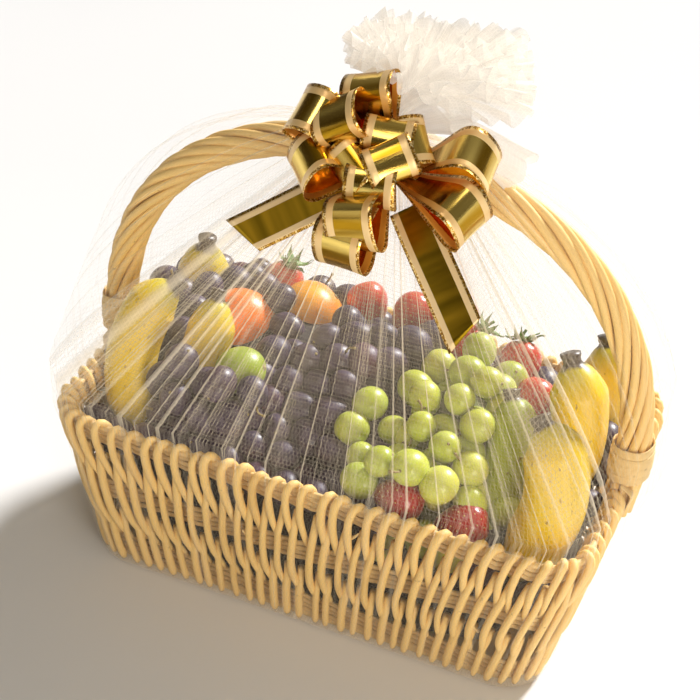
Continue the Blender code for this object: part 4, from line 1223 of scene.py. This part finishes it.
def spread_apart(places, size):
    """Places of grapes, moved a little so that no two of them cross."""
    at = np.array(places)
    for _ in range(40):
        at = at + 0.25 * push_from_others(at, size[1] * 1.86)
    return [Vector(place) for place in at]


def hides_fruit(place, size):
    """Whether a grape here would cover the open side of a fruit that shows."""
    for fruit, share in BARE_FRUIT.items():
        centre = Vector(ROUND_FRUIT[fruit][0] if fruit in ROUND_FRUIT else STRAWBERRIES[fruit][0])
        radius = ROUND_FRUIT[fruit][1][0] if fruit in ROUND_FRUIT else STRAWBERRY_RADIUS
        away = Vector(place) - centre
        along = away.dot(OPEN_SIDE)
        if along > 0 and (away - OPEN_SIDE * along).length < radius * share + size[1] * 0.45:
            return True
    return False


def grape_places(name, size, count, layers, bunch, others):
    """Centres of grapes spread over a heap: thrown at random, then pushed apart until they just touch."""
    draw = np.random.default_rng(len(name) + count)
    (cx, cy), (half_x, half_y), square = HEAPS[name]
    spheres = fruit_spheres()
    if name == "grapes_dark":
        (gx, gy), (green_x, green_y), _ = HEAPS["grapes_green"]
    places = list(bunch)
    for layer in range(layers):
        spots = draw.uniform(-1, 1, (count, 2)) * (half_x * 0.97, half_y * 0.97) + (cx, cy)
        sunk = layer * size[1] * 1.15 + draw.uniform(-0.0015, 0.0015, count)
        for _ in range(160):
            heights = np.array([heap_height(name, x, y) for x, y in spots]) - sunk
            at = np.column_stack([spots, heights])
            # Grapes that cross push each other apart, and the large fruit pushes them away.
            move = 0.28 * push_from_others(at, size[1] * 1.98)[:, :2]
            move += 0.6 * push_from_fruit(at, spheres, size[1] * 0.92)[:, :2]
            # The dark ones leave the green bunch's place free.
            if name == "grapes_dark":
                u = (spots[:, 0] - gx) / (green_x + size[1] * 0.6)
                v = (spots[:, 1] - gy) / (green_y + size[1] * 0.6)
                inside = np.maximum(0.0, 1 - np.hypot(u, v))[:, None]
                move += inside * np.column_stack([u * green_x, v * green_y]) * 0.5
            spots = spots + np.clip(move, -0.004, 0.004)
            # All stay inside the flared wall.
            flare = np.minimum(1.0, heights / RIM_HEIGHT)
            room_x = (BASE_LENGTH + (RIM_LENGTH - BASE_LENGTH) * flare) / 2 - WALL_THICKNESS - size[0] - 0.001
            room_y = (BASE_WIDTH + (RIM_WIDTH - BASE_WIDTH) * flare) / 2 - WALL_THICKNESS - size[0] - 0.001
            spots[:, 0] = np.clip(spots[:, 0], -room_x, room_x)
            spots[:, 1] = np.clip(spots[:, 1], -room_y, room_y)
            if name == "grapes_green":
                u, v = (spots[:, 0] - cx) / half_x, (spots[:, 1] - cy) / half_y
                over = np.maximum(1.0, (np.abs(u) ** square + np.abs(v) ** square) ** (1 / square))
                spots = np.column_stack([cx + u / over * half_x, cy + v / over * half_y])
        heights = np.array([heap_height(name, x, y) for x, y in spots]) - sunk
        at = np.column_stack([spots, heights])
        near = np.linalg.norm(at[:, None, :] - spheres[None, :, :3], axis=2) - spheres[None, :, 3]
        clear = near.min(1) > size[1] * (0.55 if layer == 0 else 0.2)
        for place, free in zip(at, clear):
            spacing = size[1] * (1.55 if layer == 0 else 1.25)
            place = Vector(place)
            if not free or hides_fruit(place, size):
                continue
            if all((place - other).length > spacing for other in places + others):
                places.append(place)
    return places


def grapes(name, size, count, layers, core_finish, bunch, others, finishes):
    """The heap's own core and the real grapes over it, uneven in size, shape and lie."""
    draw = random.Random(name)
    shape = Shape()
    rings, segments = 12, 24
    core = [heap_point(name, Vector((0.0, 0.0, 1.0)), CORE_DEPTH)]
    for _, x, y, z in ball_rings(segments, rings):
        core.append(heap_point(name, Vector((x, y, z)), CORE_DEPTH))
    core.append(heap_point(name, Vector((0.0, 0.0, -1.0)), CORE_DEPTH))
    shape.add(core, ball_faces(segments, rings), 0.1, slot=1)
    for at in grape_places(name, size, count, layers, bunch, others):
        tilt = Vector((draw.uniform(-1, 1), draw.uniform(-1, 1), draw.uniform(-0.6, 0.9))).normalized()
        turn = tilt.to_track_quat("Z", "Y").to_matrix()
        scale = draw.uniform(0.86, 1.10)
        wide = size[1] * scale
        halves = (wide, wide * draw.uniform(0.95, 1.03), size[0] * scale * draw.uniform(0.94, 1.08))
        tint = min(1.0, max(0.0, draw.gauss(0.45, 0.25)))
        ball(shape, at, halves, turn, 20, 14, tint, dent=0.05)
        tip = at + turn @ Vector((0.0, 0.0, halves[2] * 0.955))
        ball(shape, tip, (0.0011, 0.0011, 0.0007), turn, 7, 4, 0.5, slot=2)
        if draw.random() < STALKED:
            bend = Vector((draw.uniform(-0.004, 0.004), draw.uniform(-0.004, 0.004), 0.0))
            stalk = smooth_path((tip, tip + tilt * 0.004, tip + tilt * 0.008 + bend), len(STALK_RADII))
            tube(shape, stalk, STALK_RADII, 6, 0.5, slot=2)
    slot = "dark_grape" if name == "grapes_dark" else "green_grape"
    shape.piece(name + "_fruit", [finishes[slot], core_finish, finishes["stem"]], slot, [name])


def bow_axes():
    """The bow's own right, up and forward directions: it faces the front and upward."""
    a, e = BOW_AZIMUTH, BOW_ELEVATION
    right = Vector((math.cos(a), math.sin(a), 0.0))
    up = Vector((-math.sin(a) * math.sin(e), math.cos(a) * math.sin(e), math.cos(e)))
    forward = Vector((math.sin(a) * math.cos(e), -math.cos(a) * math.cos(e), math.sin(e)))
    return right, up, forward


def ribbon_strip(shape, middles, acrosses, normals, halves, pale, back_face, cut=0.0):
    """A thin closed ribbon: on one face the sheer stripes are paler in places, which is painted light; the
    other face is painted a deeper orange reflection; and its end may be slanted.
    """
    across_count = 9
    rows = len(middles)
    points, grain, tints = [], [], []
    for face in (1, -1):
        length = 0.0
        for k in range(rows):
            if k:
                length += (middles[k] - middles[k - 1]).length
            for c in range(across_count):
                w = 2 * c / (across_count - 1) - 1
                cup = 0.0006 * (1 - w * w)
                share = k / (rows - 1)
                slant = Vector((0.0, 0.0, 0.0))
                if cut and share > 0.9:
                    slant = (middles[k] - middles[k - 1]).normalized() * (cut * w * (share - 0.9) / 0.1)
                lift = cup + face * RIBBON_THICKNESS / 2
                points.append(middles[k] + acrosses[k] * (w * halves[k]) + normals[k] * lift + slant)
                grain.append((w / 2, length * RIBBON_GRAIN, 0.0))
                tints.append(0.0 if face == back_face else pale[k])
    shape.add(points, sheet_faces(rows, across_count), tints, grain)


def ribbon_bow(finishes):
    """The loops of ribbon on their knot, the band round the neck of the net and the tongue between."""
    shape = Shape()
    right, up, forward = bow_axes()
    draw = random.Random(3)
    for clock, tilt, length, roll in BOW_LOOPS:
        clock, tilt = math.radians(clock), math.radians(tilt)
        flat = right * math.cos(clock) + up * math.sin(clock)
        ahead = flat * math.cos(tilt) + forward * math.sin(tilt)
        rise = forward * math.cos(tilt) - flat * math.sin(tilt)
        rise.rotate(Matrix.Rotation(math.radians(roll), 3, ahead))
        across = ahead.cross(rise)
        steps = 40
        middles, acrosses, halves, pale = [], [], [], []
        twist = draw.uniform(-0.10, 0.10)
        for k in range(steps):
            share = 0.01 + 0.98 * k / (steps - 1)
            out = math.sin(math.pi * share) ** 0.75
            belly = 0.30 * length * math.sin(2 * math.pi * share) * out
            middles.append(BOW_CENTRE + ahead * (length * out) - rise * belly)
            acrosses.append((across + rise * twist * (share - 0.5)).normalized())
            halves.append(RIBBON_WIDTH / 2 * (0.24 + 0.76 * min(1.0, out * 1.25)))
            # Painted shade: the stripes are cream only near the loop's end and turn orange towards the knot.
            pale.append(0.15 + 0.85 * out**6)
        frames = frames_along(middles)
        normals = [acrosses[k].cross(frames[k][0]).normalized() for k in range(steps)]
        ribbon_strip(shape, middles, acrosses, normals, halves, pale, 1)
    ball(shape, BOW_CENTRE, KNOT_HALVES, Matrix.Identity(3), 20, 14)
    inner = NECK_RADIUS + 0.0016
    steps = 40
    middles, acrosses, normals = [], [], []
    for k in range(steps):
        angle = 2 * math.pi * k / (steps - 1) - math.pi / 2
        out = Vector((math.cos(angle), math.sin(angle), 0.0))
        middles.append(Vector((0.0, HANDLE_Y, (NECK_BOTTOM + NECK_TOP) / 2)) + out * inner)
        acrosses.append(Vector((0.0, 0.0, 1.0)))
        normals.append(out)
    ribbon_strip(shape, middles, acrosses, normals, [NECK_BAND_WIDTH / 2] * steps, [0.3] * steps, -1)
    behind, between = Vector((0.0, HANDLE_Y - inner, 0.3315)), Vector((0.002, -0.022, 0.331))
    tongue = smooth_path([behind, between, BOW_CENTRE], 8)
    tube(shape, tongue, [TONGUE_RADIUS] * 8, 10)
    shape.piece("ribbon_loops", [finishes["ribbon"]], "ribbon", ["ribbon_bow"])


def net_height(x, y):
    """Height of the taut net over the handle's arch and the rim, at a point in plan."""
    reach = RIM_WIDTH / 2 + NET_REACH
    crown = HANDLE_TOP + HANDLE_RADIUS + 0.002
    flat = HANDLE_RADIUS + 0.002
    away = y - HANDLE_Y
    span = reach + math.copysign(HANDLE_Y, -away) if away < 0 else reach - HANDLE_Y
    fall = min(max((abs(away) - flat) / (span - flat), 0.0), 1.0)
    if fall > 0.999:
        return RIM_HEIGHT
    slack = fall * (NET_END_REACH - RIM_CORNER / 2)
    on_arch = min(max(0.0, (x - slack) / (1 - fall)), (x + slack) / (1 - fall))
    share = min(abs(on_arch) / NET_END_REACH, 1.0) ** (1 / NET_ROUNDNESS)
    arch = RIM_HEIGHT + (crown - RIM_HEIGHT) * math.sqrt(1 - share * share) ** NET_ROUNDNESS
    return (1 - fall) * arch + fall * RIM_HEIGHT


def ribbon_tail(name, start, end, node_name, finishes):
    """A flat tail of ribbon on the sloping front of the net, its end cut on the slant."""
    shape = Shape()
    slope = Vector((0.0, -0.010, net_height(0.0, -0.060) - net_height(0.0, -0.050))).normalized()
    normal = Vector((0.0, slope.z, -slope.y))
    ends = [Vector((x, y, net_height(x, y))) + normal * TAIL_LIFT for x, y in (start, end)]
    along = (ends[1] - ends[0]).normalized()
    across = normal.cross(along).normalized()
    steps = 26
    middles, normals = [], []
    for k in range(steps):
        share = k / (steps - 1)
        wave = 0.0015 * math.sin(math.pi * share) + 0.0008 * math.sin(7 * share)
        middles.append(ends[0].lerp(ends[1], share) + normal * wave)
        normals.append(normal)
    halves, pale = [TAIL_WIDTH / 2] * steps, [1.0] * steps
    ribbon_strip(shape, middles, [across] * steps, normals, halves, pale, -1, cut=-0.006)
    shape.piece(name, [finishes["tail"]], "ribbon", [node_name])


def end_stretch(y, length, share=1.0):
    """How many times longer the net is here, because it bulges over the feet of the handle."""
    near = max(0.0, 1 - abs(y - HANDLE_Y) / NET_END_BULGE)
    return 1 + (2 * NET_END_REACH / length - 1) * near * share


def broad_cover(share):
    """Cover of the broad fold that runs through this place round the rim, or none."""
    covers = [cover for at, wide, cover in BROAD_FOLDS if abs(share - at) < 0.75 * wide / NET_PERIMETER]
    return max(covers, default=0.0)


def fold_columns():
    """Places round the rim of the net's columns with their cover: some across each fold, some between."""
    draw = random.Random(21)
    gaps = [draw.uniform(0.35, 1.65) for _ in range(NET_FOLDS)]
    total = sum(gaps)
    folds = []
    at = 0.0
    for gap in gaps:
        folds.append((at / total, 0.0010 * draw.uniform(0.5, 1.3), draw.uniform(0.22, 0.80)))
        at += gap
    columns = []
    for share, wide, cover in folds + list(BROAD_FOLDS):
        half = wide / NET_PERIMETER
        steep = 0.35 if wide < 0.0014 else 0.75
        columns += [(share - half, 0.0), (share - half * steep, cover * 0.8), (share + half * steep, cover)]
        columns.append((share + half, 0.0))
    taken = [share for share, _ in columns]
    for k in range(300):
        share = k / 300
        if all(abs(share - other) > 0.0016 for other in taken):
            columns.append((share, broad_cover(share)))
    return sorted((share % 1.0, cover) for share, cover in columns)


def net_film(finishes):
    """The net: from its neck over handle and fruit to the rim, then tight down the wall and under it."""
    columns = fold_columns()
    count = len(columns)
    length, width = RIM_LENGTH + 2 * NET_REACH, RIM_WIDTH + 2 * NET_REACH
    rows = [0.07 + 0.93 * (k / 33) for k in range(34)]
    shape = Shape()
    points, tints, grain, layers = [], [], [], []
    for radius, height in ((NECK_RADIUS + 0.0008, NECK_TOP + 0.0004), (NECK_RADIUS, NECK_BOTTOM)):
        for column, (share, _) in enumerate(columns):
            at, _ = outline(length, width, RIM_CORNER, share)
            aim = at.normalized() * (radius + 0.0006 * (column % 2))
            points.append((aim.x, aim.y + HANDLE_Y, height))
            tints.append(0.75)
            grain.append((share * NET_PERIMETER, 1.0, 0.0))
            layers.append(1.0)
    for row in rows:
        for share, crest in columns:
            at, out = outline(length, width, RIM_CORNER, share)
            at.x *= end_stretch(at.y, length)
            at = at * row + Vector((0.0, HANDLE_Y)) * (1 - row)
            sag = 0.0016 * wobble(share * 90, row * 2.5, 0.0) * math.sin(math.pi * row)
            fold = crest * (0.0018 if row < 0.97 else 0.0006)
            height = net_height(at.x, at.y) + NET_LIFT + fold + sag
            at = at + out * (fold * 0.5)
            points.append((at.x, at.y, height))
            # The net lies doubled near its neck, most of all in the middle of the front.
            central = math.exp(-((min(share, 1.0 - share) / 0.10) ** 2))
            gathered = (0.26 + 0.40 * central) * math.exp(-row / 0.25)
            # Its folds show in front and fade out past the two front corners.
            reach = 0.17 if share > 0.5 else 0.19
            front = 0.08 + 0.92 / (1.0 + math.exp((min(share, 1.0 - share) - reach) / 0.010))
            tints.append(min(0.92, gathered + crest * front * (1.1 - 0.45 * row)))
            grain.append((share * NET_PERIMETER, front * (1.0 - 0.45 * row), row * NET_SLANT))
            # More layers lie over each other at those corners, more at the left one.
            left = math.exp(-(((share - 0.875) / 0.030) ** 2))
            right = 0.9 * math.exp(-(((share - 0.15) / 0.045) ** 2))
            layers.append(min(1.0, 0.10 + (left + right)) * (1.0 - 0.30 * row))
    # Down the wall and under it: drop below the rim, distance from the wall, and cover.
    for drop, skin, density in (
        (0.004, 0.0040, 0.0),
        (0.014, NET_SKIN, 0.0),
        (0.030, NET_SKIN, 0.0),
        (0.050, NET_SKIN, 0.0),
        (0.070, NET_SKIN, 0.01),
        (0.090, NET_SKIN, 0.02),
        (0.108, NET_SKIN, 0.04),
        (0.120, NET_SKIN, 0.07),
        (0.1266, NET_SKIN - 0.0012, 0.10),
        (0.1274, -0.012, 0.15),
    ):
        for share, crest in columns:
            at, out = wall_point(share, RIM_HEIGHT - drop, skin)
            if drop < END_TUCK:
                at.x *= end_stretch(at.y, length, 1 - drop / END_TUCK)
            ripple = 0.0003 * wobble(share * 160, drop * 60, 5.0)
            points.append((at.x + out.x * ripple, at.y + out.y * ripple, at.z))
            tints.append(density + 0.10 * crest)
            grain.append((share * NET_PERIMETER, 0.35, NET_SLANT + drop))
            layers.append(0.0)
    faces = grid_faces(len(rows) + 12, count)
    shape.add(points, faces, tints, grain, layers=layers)
    film = shape.piece("net_film", [finishes["net"]], "net", ["net"])


def frill_skirt(shape, opening, length, waves, depth, phase, second):
    """One ruffled skirt of net that opens out from the tie and leans with the ruff."""
    upright = Matrix.Identity(3)
    leaning = Vector((0.0, 0.0, 1.0)).rotation_difference(RUFF_LEAN).to_matrix()
    foot = Vector((0.0, HANDLE_Y, NECK_TOP + 0.0004))
    columns, rows = 360, 20
    points, tints, grain = [], [], []
    for row in range(rows):
        t = row / (rows - 1)
        for column in range(columns):
            angle = 2 * math.pi * column / columns
            low, high = math.sin(3 * angle + phase), math.sin(8 * angle + second)
            reach = length * (1 + 0.07 * low + 0.04 * high)
            reach *= 1 + 0.24 * math.cos(angle) + 0.05 * wobble(angle * 6, phase, 2.0)
            # The skirt's profile bends outwards step by step from its foot to here.
            away = along = 0.0
            for step in range(row):
                bend = math.radians(10 + (opening - 10) * (step / (rows - 1)) ** 0.7)
                away += math.sin(bend) * reach / (rows - 1)
                along += math.cos(bend) * reach / (rows - 1)
            # Its ruffles deepen towards the free edge.
            bend = math.radians(10 + (opening - 10) * t**0.7)
            wave = math.sin(waves * angle + phase) + 0.45 * math.sin((waves + 9) * angle + second)
            wave += 0.9 * wobble(math.cos(angle) * 3, math.sin(angle) * 3, phase + t * 1.4)
            push = depth * t**1.3 * wave
            away += push * math.cos(bend) + NECK_RADIUS * 0.75
            along -= push * math.sin(bend)
            ring = Vector((away * math.cos(angle), away * math.sin(angle), along))
            ring.y *= RUFF_FRONT if ring.y < 0 else 1.0
            turned = upright.lerp(leaning, min(1.0, t * 3))
            points.append(foot + turned @ ring)
            tints.append(0.60 * (1 - t) ** 1.1 + (0.10 if row >= rows - 2 else 0.0))
            grain.append((angle * 0.12 + phase, 1.0, t * 0.06))
    shape.add(points, grid_faces(rows, columns), tints, grain)


def stray_end(shape, start, end, wide, deep):
    """A loosely rolled end of net that widens from its start."""
    start, end = Vector(start), Vector(end)
    ahead = (end - start).normalized()
    side = ahead.cross(Vector((0.0, 1.0, 0.0))).normalized()
    depth_way = side.cross(ahead)
    columns, rows = 60, 14
    points, tints, grain = [], [], []
    for row in range(rows):
        t = row / (rows - 1)
        for column in range(columns):
            angle = 2 * math.pi * column / columns
            ripple = 1 + 0.10 * t * math.sin(5 * angle + 1.0) + 0.06 * t * math.sin(11 * angle)
            swell = (0.30 + 0.70 * t**0.7) * ripple
            off = side * (wide * swell * math.cos(angle)) + depth_way * (deep * swell * math.sin(angle))
            points.append(start.lerp(end, t) + off + ahead * (0.003 * t * math.sin(3 * angle)))
            tints.append(0.30 * (1 - t) + (0.25 if row >= rows - 2 else 0.05))
            grain.append((angle * 0.03 + wide, 1.0, t * 0.05))
    shape.add(points, grid_faces(rows, columns), tints, grain)


def net_frill(finishes):
    """The gathered end of the net above the tie: nested ruffled skirts that open out, and two stray ends."""
    shape = Shape()
    draw = random.Random(9)
    for opening, length, waves, depth in FRILL_SKIRTS:
        frill_skirt(shape, opening, length, waves, depth, draw.uniform(0, 6), draw.uniform(0, 6))
    for start, end, wide, deep in STRAY_ENDS:
        stray_end(shape, start, end, wide, deep)
    frill = shape.piece("net_frill", [finishes["frill"]], "net", ["net_ruff"])


# The lights: name, kind, place, aim, strength, size in metres or the sun's angle, and colour.
LIGHTS = (
    ("key", "SUN", (0.32, 0.95, 0.72), (0.0, 0.0, 0.0), 5.8, math.radians(10), (1.0, 0.99, 0.985)),
    ("right key", "AREA", (0.90, -0.95, 0.42), (0.04, 0.0, 0.14), 8.2, 0.5, (1.0, 0.92, 0.80)),
    ("left fill", "AREA", (-0.7, -1.3, 0.8), (0.0, 0.0, 0.12), 1.2, 0.9, (1.0, 0.92, 0.80)),
    ("top fill", "AREA", (-0.05, -0.38, 0.95), (0.02, 0.0, 0.34), 1.4, 0.35, (1.0, 0.94, 0.85)),
)
SKY_STRENGTH = 0.24


def floor_and_light():
    """A plain pale floor, a bright low sun from behind, a warm key from the right and soft fills in front."""
    mesh = bpy.data.meshes.new("floor")
    half = 6.0
    corners = [(-half, -half, 0), (half, -half, 0), (half, half, 0), (-half, half, 0)]
    mesh.from_pydata(corners, [], [(0, 1, 2, 3)])
    floor = bpy.data.objects.new("floor", mesh)
    bpy.context.scene.collection.objects.link(floor)
    made, tree, shader = finish_named("floor", 0.8)
    cloud = noise_on(tree, object_place(tree), 3, 2)
    colour = mixed(tree, cloud, (0.74, 0.738, 0.732), (0.77, 0.768, 0.762))
    coloured(tree, shader, colour)
    mesh.materials.append(made)
    studio_world()
    for name, kind, place, aim, energy, size, colour in LIGHTS:
        light = bpy.data.lights.new(name, kind)
        light.energy = energy
        light.color = colour
        if kind == "SUN":
            light.angle = size
        else:
            light.size = size
        obj = bpy.data.objects.new(name, light)
        obj.location = place
        obj.rotation_mode = "QUATERNION"
        obj.rotation_quaternion = (Vector(aim) - Vector(place)).to_track_quat("-Z", "Y")
        bpy.context.scene.collection.objects.link(obj)


def studio_world():
    """Soft light all round: bright above and behind, dim in front and below."""
    world = bpy.data.worlds.new("studio")
    bpy.context.scene.world = world
    world.use_nodes = True
    tree = world.node_tree
    aim = node(tree, "ShaderNodeTexCoord").outputs["Generated"]
    level = node(tree, "ShaderNodeVectorMath", {"operation": "DOT_PRODUCT"}, i0=aim, i1=(0.25, 0.65, 0.70))
    sky = ((0.0, (0.25, 0.21, 0.165)), (0.25, (0.46, 0.42, 0.36)), (0.9, (1.0, 0.945, 0.85)))
    made = ramp(tree, level.outputs["Value"], sky)
    background = tree.nodes["Background"]
    tree.links.new(made, background.inputs[0])
    background.inputs[1].default_value = SKY_STRENGTH


def camera():
    """The photograph's viewing angle, from the front right and above, with its slight roll."""
    azimuth, elevation, roll = math.radians(18.0), math.radians(35.1), math.radians(6.0)
    target, distance = Vector((0.0, 0.0, 0.15)), 1.194
    level = math.cos(elevation)
    back = Vector((math.sin(azimuth) * level, -math.cos(azimuth) * level, math.sin(elevation)))
    right = (-back).cross(Vector((0.0, 0.0, 1.0))).normalized()
    up = right.cross(-back)
    turned_right = right * math.cos(roll) + up * math.sin(roll)
    turned_up = up * math.cos(roll) - right * math.sin(roll)
    data = bpy.data.cameras.new("camera")
    data.lens = 94.1
    data.sensor_width = 36.0
    data.shift_x = -0.0283
    data.shift_y = 0.0284
    obj = bpy.data.objects.new("camera", data)
    place = Matrix((turned_right, turned_up, back)).transposed().to_4x4()
    place.translation = target + back * distance
    obj.matrix_world = place
    bpy.context.scene.collection.objects.link(obj)
    bpy.context.scene.camera = obj


def build():
    bpy.context.scene.view_settings.view_transform = "Standard"
    camera()
    floor_and_light()
    finishes = make_finishes()
    draw = random.Random(11)
    wicker_stakes(draw, finishes)
    wicker_weavers(draw, finishes)
    base_board(finishes)
    handle(finishes)
    handle_binding("handle_binding_left", -1, finishes)
    handle_binding("handle_binding_right", 1, finishes)
    for name in BANANAS:
        banana(name, finishes)
    for name in ROUND_FRUIT:
        round_fruit(name, finishes)
    for name in STRAWBERRIES:
        strawberry(name, finishes)
    for name in LEAFED:
        strawberry_leaves(name, finishes)
    # Painted shade: each heap's core is coloured dark, for the shade between its grapes; the green heap's
    # core is also the colour of its stalks.
    dark_core = plain_finish("shade between grapes", (0.012, 0.008, 0.014), (0.02, 0.012, 0.02), 0.8, 90)
    green_stalks_and_shade = plain_finish("grape stalks and shade", (0.10, 0.13, 0.03), (0.16, 0.17, 0.05), 0.8, 90)
    green_bunch = spread_apart(GREEN_BUNCH, GRAPE_GREEN)
    dark_bunch = spread_apart(DARK_BUNCH, GRAPE_DARK)
    grapes("grapes_dark", GRAPE_DARK, 125, 2, dark_core, dark_bunch, green_bunch, finishes)
    grapes("grapes_green", GRAPE_GREEN, 30, 2, green_stalks_and_shade, green_bunch, dark_bunch, finishes)
    ribbon_bow(finishes)
    ribbon_tail("ribbon_tail_left_cut", (-0.012, -0.030), (-0.070, -0.052), "ribbon_tail_left", finishes)
    ribbon_tail("ribbon_tail_right_cut", (0.026, -0.032), (0.078, -0.062), "ribbon_tail_right", finishes)
    net_film(finishes)
    net_frill(finishes)


build()
